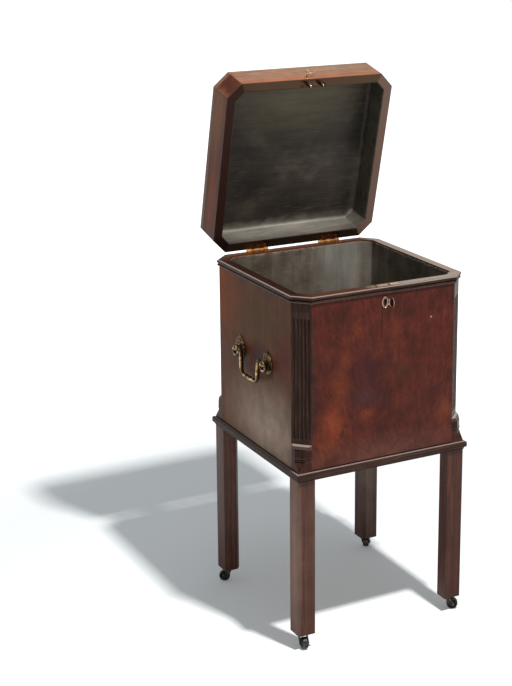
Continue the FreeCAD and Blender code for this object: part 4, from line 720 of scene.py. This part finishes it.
# ---- carved brackets ----
# Height over the stand, chamfer left on the corner, depth of the carving beside the middle ridge.
BRACKET_CARVING = (
    (52.0, 28.0, 0.0), (51.7, 25.6, 0.0), (50.6, 22.0, 0.0), (48.6, 18.9, 0.0), (46.4, 17.0, 0.0),
    (45.0, 16.4, 0.0), (44.2, 15.6, 0.0), (43.9, 17.4, 0.0), (42.6, 17.4, 0.0), (42.2, 14.6, 0.0),
    (34.0, 14.2, 0.0), (27.4, 14.0, 0.0), (26.8, 13.0, 0.0), (25.8, 12.4, 0.0), (24.8, 13.0, 0.0),
    (24.2, 14.0, 0.0), (21.2, 14.2, 0.0), (20.6, 16.0, 0.0), (19.4, 16.0, 0.0), (18.8, 13.8, 0.3),
    (16.0, 12.4, 1.0), (12.5, 9.8, 1.5), (9.0, 6.6, 1.3), (6.0, 4.0, 0.8), (3.5, 1.9, 0.4),
    (1.5, 0.9, 0.0), (0.0, 0.5, 0.0))
# Place across as a share of the half width, and how much of the carving's depth is cut there.
ACROSS = ((-1.0, 0.0), (-0.9, 0.25), (-0.62, 0.6), (-0.34, 1.0), (-0.12, -0.6), (0.0, -0.8),
          (0.12, -0.6), (0.34, 1.0), (0.62, 0.6), (0.9, 0.25), (1.0, 0.0))
BRACKET_BACK = -0.6                  # mm, behind the face of the canted corner


def carved_brackets():
    """The four brackets that bring a canted corner out to a square foot, with a lamb's tongue."""
    shape = Shape()
    leg, slant = CANT / MM, math.sqrt(0.5)
    edge = leg * slant
    for sx, sy in ((-1, -1), (1, -1), (1, 1), (-1, 1)):
        out = Vector((sx, sy, 0)).normalized()
        middle = Vector((sx * (HALF_WIDTH - CANT / 2), sy * (HALF_DEPTH - CANT / 2) + MIDDLE_Y,
                         STAND_TOP))
        place = from_point(middle, Vector((-out.y, out.x, 0)), out, UP)
        rings = []
        for height, left, depth in BRACKET_CARVING:
            section = [(-edge, BRACKET_BACK), (-edge, 0.0)]
            section += [(side * left * slant, (leg - left) * slant - cut * depth)
                        for side, cut in ACROSS]
            section += [(edge, 0.0), (edge, BRACKET_BACK)]
            rings.append([place(along, proud, height) for along, proud in section])
        shape.rings(rings)
    piece("carved_brackets", shape, CARVED_WOOD, "case", "corner_brackets")


carved_brackets()


# ---- carrying handles ----
BAIL_OUT = (LEFT - BAIL_MIDDLE.x) / MM       # its axis, from the wall
BAIL_STEPS, BEND_STEPS, POMMEL_STEPS = 18, 5, 32
# Depth from the pommel's middle towards the outside, height over the axis, thickness.
BAIL_LINE = (
    (1.5, 0.0, 2.2), (4.6, 0.0, 2.3), (7.6, -0.4, 2.9), (10.0, -3.2, 3.0), (10.2, -8.0, 2.8),
    (7.4, -12.0, 3.2), (1.5, -13.4, 3.5), (-4.5, -12.6, 3.2), (-8.8, -9.0, 2.8),
    (-11.2, -3.0, 2.6), (-13.4, 1.6, 2.6), (-16.8, 2.6, 2.9), (-20.0, 0.0, 3.2),
    (-21.4, -6.0, 3.6), (-22.4, -16.0, 4.1), (-23.2, -25.0, 4.2), (-24.0, -34.0, 3.8),
    (-26.2, -40.0, 3.4), (-31.0, -43.2, 3.3), (-37.0, -44.8, 3.4), (-42.2, -45.0, 3.5),
    (-43.0, -45.0, 4.4), (-44.6, -45.0, 4.5), (-45.4, -45.0, 3.5), (-50.0, -45.0, 3.9),
    (-55.2, -45.0, 4.0), (-56.4, -45.0, 4.6), (-58.0, -45.0, 4.8))
# Distance out from the wall, and radius.
POMMEL = ((1.8, 2.6), (4.4, 5.6), (5.0, 5.9), (5.5, 5.4), (5.9, 4.7), (6.6, 5.5), (8.2, 6.4),
          (10.2, 6.8), (12.2, 6.6), (13.8, 5.7), (14.9, 4.4), (15.4, 3.2), (15.7, 2.7),
          (16.2, 3.0), (16.8, 2.6), (17.1, 1.4), (17.1, 0.3))
ROSETTE_STEPS, ROSETTE_ROWS = 128, 16
HALF_PETALS = 4
ROSETTE_CENTRE, ROSETTE_BACK = 0.12, 0.995   # the first and the last ring, of the whole
PETAL_VALLEY, PETAL_REACH, UPRIGHT_STRETCH = 16.2, 3.6, 0.2
ROSETTE_EDGE, PETAL_SWELL, PETAL_FROM = 1.3, 2.0, 0.45
VEIN_DEPTH, VEIN_WIDTH, VEIN_FROM = 0.7, 1.1, 0.5
DOME_HEIGHT, DOME_RADIUS = 3.1, 11.5
ROSETTE_BEADS = ((11.2, 0.9, 1.1), (7.4, 0.7, 0.5))     # radius, width, height


def handle_ways(side):
    """The middle of a handle on the face of its wall, and its ways: along the wall and out."""
    pin = joint_place(side + "_bail_hinge")
    sign, face = (-1, LEFT) if side == "left" else (1, RIGHT)
    return Vector((face, pin.y, pin.z)), TO_BACK * -sign, TO_RIGHT * sign


def make_bail(side):
    """A cast swan-necked bail: looped necks round the pommels, arms and a beaded grip."""
    middle, along, out = handle_ways(side)
    place = from_point(middle, along, out, UP)
    line = smooth_line([(HALF_POMMEL_SPACING / MM + depth, up, thick)
                        for depth, up, thick in BAIL_LINE], BEND_STEPS)
    line += [Vector((-p.x, p.y, p.z)) for p in reversed(line[:-1])]
    shape = Shape().tube([place(p.x, BAIL_OUT, p.y) for p in line], [p.z for p in line],
                         BAIL_STEPS)
    piece(side + "_handle_bail_cast", shape, BAIL_BRASS, side + "_bail",
          side + "_handle_bail")


def make_pommels(side):
    """Turned pommels: a collar on the rosette, a neck and a flattened ball with a button."""
    middle, along, out = handle_ways(side)
    shape = Shape()
    for end in (-HALF_POMMEL_SPACING, HALF_POMMEL_SPACING):
        shape.lathe(POMMEL, from_point(middle + along * end, out, along, UP), POMMEL_STEPS)
    piece(side + "_handle_pommels_turned", shape, HANDLE_BRASS, "case",
          side + "_handle_pommels")


def rosette_rings():
    """A rosette from its middle to its edge and back to the wall: along the wall, out and up."""
    rings = []
    for k in range(ROSETTE_ROWS + 1):
        share = ROSETTE_CENTRE + (1 - ROSETTE_CENTRE) * k / ROSETTE_ROWS
        on_petal = min(1, max(0, (share - PETAL_FROM) / (1 - PETAL_FROM)))
        swell = math.sin(math.pi * on_petal) ** 0.7
        ring = []
        for a in turns(ROSETTE_STEPS):
            petal = abs(math.cos(HALF_PETALS * a))
            radius = (PETAL_VALLEY + PETAL_REACH * petal ** 0.5) * share
            vein = bump_at(math.sin(HALF_PETALS * a) * radius, VEIN_WIDTH) if share > VEIN_FROM else 0
            height = ROSETTE_EDGE + swell * (PETAL_SWELL * petal ** 0.8 - VEIN_DEPTH * vein)
            height += DOME_HEIGHT * max(0, 1 - (radius / DOME_RADIUS) ** 2)
            height += sum(high * bump_at(radius - at, wide) for at, wide, high in ROSETTE_BEADS)
            upright = radius * (1 + UPRIGHT_STRETCH * abs(math.sin(a)))
            ring.append((radius * math.cos(a), height, upright * math.sin(a)))
        rings.append(ring)
    return rings + [[(ROSETTE_BACK * along, 0.0, ROSETTE_BACK * up) for along, _, up in rings[-1]]]


def make_rosettes(side):
    """Cast rosettes behind the pommels: eight veined petals round a domed middle."""
    middle, along, out = handle_ways(side)
    shape = Shape()
    for end in (-HALF_POMMEL_SPACING, HALF_POMMEL_SPACING):
        place = from_point(middle + along * end, along, out, UP)
        shape.rings([[place(*steps) for steps in ring] for ring in rosette_rings()])
    piece(side + "_handle_rosettes", shape, PLATE_BRASS, "case",
          side + "_handle_plates")


for handle_side in ("left", "right"):
    make_rosettes(handle_side)
    make_pommels(handle_side)
    make_bail(handle_side)


# ---- lock, keyhole and pull ----
KEYHOLE_BELOW_RIM = 28
KEYHOLE_TOP = (RIM - PLATE_Z) / MM - KEYHOLE_BELOW_RIM      # its round, over the plate's middle
KEYHOLE_RADIUS, KEYHOLE_SLOT, KEYHOLE_LENGTH = 2.6, 1.2, 8.0
PLATE_HALF_WIDTH, PLATE_HALF_HEIGHT = 6.5, 11.5
COVER_HALF_WIDTH, COVER_HALF_HEIGHT = 0.93 * PLATE_HALF_WIDTH, 0.92 * PLATE_HALF_HEIGHT
OVAL_STEPS = 64
# Share of the oval, and distance out.
PLATE_RIM = ((0.80, 0.7), (0.84, 1.1), (0.89, 1.42), (0.94, 1.45), (0.98, 1.15), (1.0, 0.6),
             (1.0, 0.0))
COVER_DISH = ((0.05, 0.75), (0.5, 0.62), (0.78, 0.35), (0.86, 0.45), (0.92, 0.7), (0.97, 0.55),
              (1.0, 0.1), (0.99, -0.35), (0.93, -0.45), (0.8, -0.3), (0.4, 0.05), (0.05, 0.15))
KEYHOLE_PLATE = 0.8                  # thickness at the keyhole
KNUCKLE, KNUCKLE_EDGE, PIN_HOLE, KNUCKLE_STEPS = 1.2, 1.05, 0.5, 20
PLATE_KNUCKLES, COVER_KNUCKLE = ((-5.9, -2.2), (2.2, 5.9)), (-1.8, 1.8)
ARM_HALF_HEIGHT, ARM_THICKNESS = 1.7, 1.1
STRAP_HALF_LENGTH, STRAP_HALF_HEIGHT, STRAP_HALF_THICKNESS, STRAP_OUT = 1.9, 1.5, 0.45, 2.4
LINK_HALF_LENGTH, LINK_HALF_WIDTH, LINK_CORNER = 28, 6.5, 1.5
LINK_FACES = (-0.1, 1.6)             # from the lid's rim into its wood
HOOK_SPACING = 28
HOOK_BAR, HOOK_HALF_SPREAD, HOOK_REACH, HOOK_BOW = 1.5, 2.0, 14.6, 1.9
HOOK_LEVELS = (1.0, -5.0, -10.0, -13.0)
HOOK_COLLAR = ((0.2, 0.3), (-0.1, 4.2), (-0.25, 4.1), (-0.35, 3.7), (-0.35, 0.3))
PULL_AXIS = Vector((-12 * MM, FRONT, LID_FOOT + 6 * MM))
PULL_TURN = math.radians(15)         # the drop hangs this far off the line of the rim
DROP_OUT = 9                         # middle of the drop, from the front
RING_RADIUS, RING_BAR, RING_STEPS = 2.5, 0.85, 24
# Distance out from the front, and radius.
STUD = ((-9.0, 1.2), (0.0, 1.4), (0.0, 4.0), (0.7, 4.0), (1.3, 3.3), (1.6, 2.3), (2.4, 2.0),
        (4.6, 2.0), (5.2, 2.5), (6.2, 2.6), (7.2, 2.3), (7.5, 1.5), (10.6, 1.5), (12.2, 1.5),
        (12.8, 2.0), (13.6, 2.5), (15.0, 2.6), (16.4, 2.2), (17.2, 1.3), (17.5, 0.2))
# Distance from the stud's middle, and radius.
DROP = ((2.9, 0.5), (3.3, 1.1), (4.2, 1.3), (5.4, 1.5), (6.8, 2.0), (8.2, 2.1), (9.6, 1.9),
        (12.0, 1.35), (15.0, 1.0), (17.4, 0.95), (18.0, 1.2), (19.0, 1.5), (20.4, 1.5),
        (21.6, 1.2), (22.3, 0.6), (22.5, 0.2))


def oval(steps):
    """Directions once round from the top."""
    return [Vector((math.sin(a), math.cos(a))) for a in turns(steps)]


def keyhole_outline(steps):
    """Points of a keyhole about the middle of its plate: a round over a straight slot."""
    meet = math.asin(KEYHOLE_SLOT / KEYHOLE_RADIUS)
    round_steps = int(steps * 0.3)
    slot_steps = steps // 2 - round_steps - 1
    right = []
    for k in range(round_steps + 1):
        a = (math.pi - meet) * k / round_steps
        right.append(Vector((KEYHOLE_RADIUS * math.sin(a),
                             KEYHOLE_TOP + KEYHOLE_RADIUS * math.cos(a))))
    low, foot = right[-1].y, KEYHOLE_TOP - KEYHOLE_LENGTH
    for k in range(1, slot_steps + 1):
        wide = KEYHOLE_SLOT if k < slot_steps else 0.6 * KEYHOLE_SLOT
        right.append(Vector((wide, low + (foot - low) * k / slot_steps)))
    return right + [Vector((0, foot))] + [Vector((-p.x, p.y)) for p in reversed(right[1:])]


def cover_knuckle(shape, low, high):
    """A knuckle on the pin of the keyhole cover, between two heights over the plate's middle."""
    profile = [(low, PIN_HOLE), (low, KNUCKLE_EDGE), (low + 0.2, KNUCKLE), (high - 0.2, KNUCKLE),
               (high, KNUCKLE_EDGE), (high, PIN_HOLE)]
    shape.lathe(profile, from_point(COVER_PIN, UP, TO_RIGHT, TO_BACK), KNUCKLE_STEPS)


def make_escutcheon():
    """An oval keyhole plate with a beaded rim and the two knuckles of its cover's hinge."""
    place = from_point(Vector((0, FRONT, PLATE_Z)), TO_RIGHT, -TO_BACK, UP)
    rings = [[place(p.x, out, p.y) for p in keyhole_outline(OVAL_STEPS)]
             for out in (0.0, KEYHOLE_PLATE)]
    rings += [[place(p.x * PLATE_HALF_WIDTH * share, out,
                     p.y * PLATE_HALF_HEIGHT * (1 + share) / 2) for p in oval(OVAL_STEPS)]
              for share, out in PLATE_RIM]
    shape = Shape().rings(rings + [rings[0]], capped=False)
    arm_start, arm_end = PLATE_HALF_WIDTH - 1.0, COVER_PIN.x / MM
    for low, high in PLATE_KNUCKLES:
        cover_knuckle(shape, low, high)
        arm_middle = place((arm_start + arm_end) / 2, 0, (low + high) / 2)
        shape.slab(rounded_box((arm_end - arm_start) / 2, ARM_HALF_HEIGHT, 0.4),
                   from_point(arm_middle, TO_RIGHT, UP, -TO_BACK), 0.0, ARM_THICKNESS, 0.15)
    piece("escutcheon_beaded", shape, KEYHOLE_BRASS, "case", "escutcheon_plate")


def make_cover():
    """The dished oval cover, drawn closed and turned open on its pin."""
    place = from_point(Vector((0, COVER_PIN.y, PLATE_Z)), TO_RIGHT, -TO_BACK, UP)
    shape = Shape().rings([[place(p.x * COVER_HALF_WIDTH * share, out,
                                  p.y * COVER_HALF_HEIGHT * share) for p in oval(OVAL_STEPS)]
                           for share, out in COVER_DISH])
    cover_knuckle(shape, *COVER_KNUCKLE)
    shape.slab(rounded_box(STRAP_HALF_LENGTH, STRAP_HALF_HEIGHT, 0.6),
               from_point(COVER_PIN - TO_RIGHT * (STRAP_OUT * MM), TO_RIGHT, UP, TO_BACK),
               -STRAP_HALF_THICKNESS, STRAP_HALF_THICKNESS, 0.12)
    piece("keyhole_cover_dished", shape.moved(COVER_OPENED), COVER_BRASS, "keyhole_cover",
          "escutcheon_cover")


def make_link_plate():
    """The lid's half of the lock: a let-in plate with two staples that the bolt slides into."""
    middle = Vector((0, LOCK_Y, LID_FOOT))
    shape = Shape().slab(rounded_box(LINK_HALF_LENGTH, LINK_HALF_WIDTH, LINK_CORNER),
                         from_point(middle, TO_RIGHT, TO_BACK, UP), *LINK_FACES, 0.25)
    bend = [(-HOOK_HALF_SPREAD, z) for z in HOOK_LEVELS]
    bend += [(-HOOK_HALF_SPREAD * math.cos(a), -HOOK_REACH - HOOK_BOW * math.sin(a))
             for a in (math.radians(30 * k) for k in range(7))]
    bend += [(HOOK_HALF_SPREAD, z) for z in reversed(HOOK_LEVELS)]
    for side in (-1, 1):
        foot = middle + TO_RIGHT * (side * HOOK_SPACING / 2 * MM)
        place = from_point(foot, TO_BACK, UP)
        shape.tube([place(y, z) for y, z in bend], [HOOK_BAR] * len(bend), 14)
        shape.lathe(HOOK_COLLAR, from_point(foot, UP, TO_RIGHT, TO_BACK), 24)
    piece("link_plate_with_staples", shape.moved(OPENED), LOCK_BRASS, "lid",
          "link_plate")


def make_pull():
    """The lid's pull: a turned stud with a button, and a tapering drop hung on it."""
    shape = Shape().lathe(STUD, from_point(PULL_AXIS, -TO_BACK, TO_RIGHT, UP), 24)
    piece("lid_pull_stud_turned", shape.moved(OPENED), PULL_BRASS, "lid",
          "lid_pull_stud")
    middle = PULL_AXIS - TO_BACK * (DROP_OUT * MM)
    place = from_point(middle, TO_RIGHT, TO_BACK, UP)
    ring = [place(RING_RADIUS * math.cos(a), 0, RING_RADIUS * math.sin(a))
            for a in turns(RING_STEPS) + [2 * math.pi]]
    shape = Shape().tube(ring, [RING_BAR] * len(ring), 12)
    shape.lathe(DROP, place, 20)
    piece("lid_pull_drop_turned", shape.moved(OPENED @ turned_about(middle, -PULL_TURN, "Y")),
          PULL_BRASS, "lid_pull", "lid_pull_drop")


make_escutcheon()
make_cover()
make_link_plate()
make_pull()


# ---- hinge screws ----
HINGE_MIDDLES = (-82.5 * MM, 82.5 * MM)
SCREW_SPACING = 16 * MM
SCREW_PLACES = [(middle + n * SCREW_SPACING, BACK - LEAF_SETBACK)
                for middle in HINGE_MIDDLES for n in (-1, 0, 1)]
SCREW_RADIUS, SCREW_LENGTH = 2.6, 13
SCREW_HEAD = (-0.02, 0.9)            # from the face of the brass inward
SCREW_SHANK = ((0.5, 0.9 * SCREW_RADIUS), (1.4, 1.4), (4, 1.3), (SCREW_LENGTH, 0.3))
HALF_SLOT, HALF_HEAD_STEPS = 0.32, 14
FIRST_TURN, NEXT_TURN = 0.7, 1.9     # radians


def slotted_screws(name, node, rim, inward, body, turn):
    """Countersunk screws, each slot turned another way by the hand that drove it."""
    shape = Shape()
    start = math.asin(HALF_SLOT / SCREW_RADIUS)
    arc = [start + (math.pi - 2 * start) * k / HALF_HEAD_STEPS for k in range(HALF_HEAD_STEPS + 1)]
    for number, (x, y) in enumerate(SCREW_PLACES):
        head, driven = Vector((x, y, rim)), FIRST_TURN + NEXT_TURN * number
        along = Vector((math.cos(driven), math.sin(driven), 0))
        beside = Vector((-along.y, along.x, 0))
        for side in (-1, 1):
            half = [Vector((SCREW_RADIUS * math.cos(a), side * SCREW_RADIUS * math.sin(a)))
                    for a in arc]
            shape.slab(half, from_point(head, along, beside, inward), *SCREW_HEAD, 0.12)
        shape.lathe(SCREW_SHANK, from_point(head, inward, along, beside), 16)
    piece(name, shape.moved(turn), IRON, body, node)


slotted_screws("hinge_case_screws_slotted", "hinge_case_screws", RIM, -UP, "case", AS_DRAWN)
slotted_screws("hinge_lid_screws_slotted", "hinge_lid_screws", LID_FOOT, UP, "lid", OPENED)


# ---- castors ----
LEG_FOOT = 30
PLATE_THICKNESS, SWIVEL_GAP = 2.2, 0.35
CASTOR_TOP = LEG_FOOT - PLATE_THICKNESS - SWIVEL_GAP
FORK_DISC = 4.3                      # radius of a fork's end round the axle
FORK_CHEEK = (7.0, 8.8)              # from and to, off the middle
# Back from the swivel and up from the floor.
FORK_ARM = ((8.4, 20.0), (6.0, 24.5), (4.5, CASTOR_TOP), (-4.5, CASTOR_TOP), (-4.3, 23.5),
            (0.0, 17.0))
AXLE_RADIUS, AXLE_REACH = 1.5, 8.5
# Height over the fork's top and radius, and distance off the middle and radius.
FORK_NECK = ((0.0, 2.9), (0.0, 8.0), (-1.0, 8.6), (-2.4, 8.2), (-3.4, 6.6), (-3.4, 2.9))
AXLE_HEAD = ((8.4, 2.4), (9.0, 2.6), (9.6, 2.1), (9.8, 0.4))
# Radius and distance from the middle, for the nearer half.
HALF_WHEEL = ((1.7, -6.5), (3.8, -6.5), (4.4, -5.9), (5.4, -5.0), (8.2, -5.0), (9.2, -5.9),
              (10.2, -5.8), (11.0, -4.9), (11.42, -3.0), (11.5, 0.0))
# Height and radius.
CASTOR_PLATE = ((30.0, 0.4), (30.0, 14.6), (29.4, 15.0), (28.6, 14.9), (28.1, 14.0), (27.8, 12.6),
                (27.8, 2.8), (23.7, 2.8), (23.7, 4.2), (23.0, 4.1), (22.55, 2.6), (22.5, 0.4))


def foot_of(corner):
    """Where the axis of a castor's swivel meets the floor."""
    swivel = joint_place("castor_swivel_" + corner)
    return Vector((swivel.x, swivel.y, 0))


def make_castor(corner):
    """A brass castor: a cast fork with a moulded neck and riveted axle, and a turned wheel."""
    foot, axle = foot_of(corner), joint_place("wheel_spin_" + corner)
    across = Vector(JOINTS["wheel_spin_" + corner]["axis"]).normalized()
    trail = Vector((axle.x - foot.x, axle.y - foot.y, 0))
    back = trail.normalized()
    wheel = [(at, radius) for radius, at in HALF_WHEEL]
    wheel += [(-at, radius) for at, radius in reversed(wheel[:-1])]
    shape = Shape().lathe(wheel, from_point(axle, across, back, UP), 48)
    piece("castor_wheel_turned_" + corner, shape, CASTOR_BRASS, "wheel_" + corner,
          "castor_wheel_" + corner)

    shape = Shape()
    disc = Vector((trail.length, axle.z)) / MM
    outline = [disc + Vector((math.cos(a), math.sin(a))) * FORK_DISC
               for a in (math.radians(-165 + 195 * k / 12) for k in range(13))]
    outline += [Vector(point) for point in FORK_ARM]
    for side in (-1, 1):
        shape.slab(outline, from_point(foot, back, UP, across * side), *FORK_CHEEK, 0.35)
        shape.lathe(AXLE_HEAD, from_point(axle, across * side, back, UP), 20)
    shape.lathe(FORK_NECK, from_point(foot + UP * (CASTOR_TOP * MM), UP, TO_RIGHT, TO_BACK), 32)
    shape.lathe([(-AXLE_REACH, AXLE_RADIUS), (AXLE_REACH, AXLE_RADIUS)],
                from_point(axle, across, back, UP), 16)
    piece("castor_fork_cast_" + corner, shape, CASTOR_BRASS, "castor_" + corner,
          "castor_fork_" + corner)


def make_castor_plates():
    """The four plates under the legs, each with a moulded edge and the pintle's riveted end."""
    shape = Shape()
    for corner in CORNERS:
        shape.lathe(CASTOR_PLATE, from_point(foot_of(corner), UP, TO_RIGHT, TO_BACK), 40)
    piece("castor_plates_moulded", shape, CASTOR_BRASS, "case", "castor_plates")


for castor_corner in CORNERS:
    make_castor(castor_corner)
make_castor_plates()


# ---- floor, light and camera ----
FLOOR_REACH = 9.0
WORLD_COLOUR, WORLD_STRENGTH = "#dfeaf0", 0.34
PAPER_WHITE_FROM = 1.6               # from the object's middle
# The floor's glow, from the middle of the object out to where it is as white as the backdrop.
FLOOR_GLOW = [(0.06, 0.115), (0.28, 0.16), (0.47, 0.16), (1.0, 1.0)]
KEY_PLACE, KEY_AIM, KEY_SIZE, KEY_POWER = (0.20, -1.245, 3.17), (0, 0, 0.4), 0.16, 105


def seen_as_backdrop(tree):
    """One where the camera, a glossy surface or glass looks at it, and nothing where it gives light."""
    path = add(tree, "LightPath")
    seen = add(tree, "Math", {"operation": "MAXIMUM"},
               {0: path.outputs["Is Camera Ray"], 1: path.outputs["Is Transmission Ray"]})
    return add(tree, "Math", {"operation": "MAXIMUM"},
               {0: seen.outputs[0], 1: path.outputs["Is Glossy Ray"]}).outputs[0]


def make_floor():
    """A plain white floor that goes past every view."""
    mesh = bpy.data.meshes.new("floor")
    mesh.from_pydata([(x * FLOOR_REACH, y * FLOOR_REACH, 0)
                      for x, y in ((-1, -1), (1, -1), (1, 1), (-1, 1))], [], [(0, 1, 2, 3)])
    floor = bpy.data.objects.new("floor", mesh)
    bpy.context.scene.collection.objects.link(floor)
    material, tree, place = start_material("matt_white_studio_floor")
    matt = add(tree, "BsdfDiffuse", {"Color": "#f4f6f6"})
    away = add(tree, "VectorMath", {"operation": "LENGTH"}, {0: place})
    share = add(tree, "MapRange", {"From Max": PAPER_WHITE_FROM}, {"Value": away.outputs["Value"]})
    paper = add(tree, "ValToRGB", {"stops": FLOOR_GLOW}, {"Fac": share.outputs[0]})
    paper.color_ramp.interpolation = "EASE"
    strength = add(tree, "Math", {"operation": "MULTIPLY"},
                   {0: seen_as_backdrop(tree), 1: paper.outputs[0]})
    glow = add(tree, "Emission", {"Color": "#ffffff"}, {"Strength": strength.outputs[0]})
    both = add(tree, "AddShader", links={0: matt.outputs[0], 1: glow.outputs[0]})
    mesh.materials.append(finish_material(material, tree, both))


def make_world():
    """A pale, slightly cool room. The camera and glossy surfaces see it as white."""
    world = bpy.data.worlds.new("studio")
    bpy.context.scene.world = world
    world.use_nodes = True
    tree = world.node_tree
    tree.nodes.clear()
    seen = seen_as_backdrop(tree)
    colour = add(tree, "Mix", {"data_type": "RGBA", 6: WORLD_COLOUR, 7: "#ffffff"}, {0: seen})
    strength = add(tree, "MapRange", {"To Min": WORLD_STRENGTH, "To Max": 1.0}, {"Value": seen})
    sky = add(tree, "Background", links={"Color": colour.outputs[2], "Strength": strength.outputs[0]})
    add(tree, "OutputWorld", links={"Surface": sky.outputs[0]})


def make_lamp(name, place, aim, size, power):
    """A square soft box that points at a place."""
    lamp = bpy.data.lights.new(name, "AREA")
    lamp.size, lamp.energy = size, power
    obj = bpy.data.objects.new(name, lamp)
    bpy.context.scene.collection.objects.link(obj)
    obj.location = place
    obj.rotation_euler = (Vector(aim) - Vector(place)).to_track_quat("-Z", "Y").to_euler()


make_floor()
make_world()
make_lamp("key", KEY_PLACE, KEY_AIM, KEY_SIZE, KEY_POWER)

IMAGE_LONG_SIDE = 686                # pixels
CAMERA_TURN, CAMERA_RISE = math.radians(-28.72), math.radians(14.4)
CAMERA_DISTANCE = 3.027
CAMERA_TARGET = Vector((-0.0474, MIDDLE_Y, 0.7098))
CAMERA_FOCUS = 1563                  # pixels
CAMERA_SHIFT = (-60, -80)            # pixels

camera = bpy.data.objects.new("camera", bpy.data.cameras.new("camera"))
bpy.context.scene.collection.objects.link(camera)
bpy.context.scene.camera = camera
backward = Vector((math.sin(CAMERA_TURN) * math.cos(CAMERA_RISE),
                   -math.cos(CAMERA_TURN) * math.cos(CAMERA_RISE), math.sin(CAMERA_RISE)))
camera.location = CAMERA_TARGET + backward * CAMERA_DISTANCE
camera.rotation_euler = (-backward).to_track_quat("-Z", "Y").to_euler()
camera.data.sensor_width = 36.0
camera.data.lens = CAMERA_FOCUS / IMAGE_LONG_SIDE * camera.data.sensor_width
camera.data.shift_x = CAMERA_SHIFT[0] / IMAGE_LONG_SIDE
camera.data.shift_y = CAMERA_SHIFT[1] / IMAGE_LONG_SIDE
bpy.context.scene.view_settings.view_transform = "Standard"
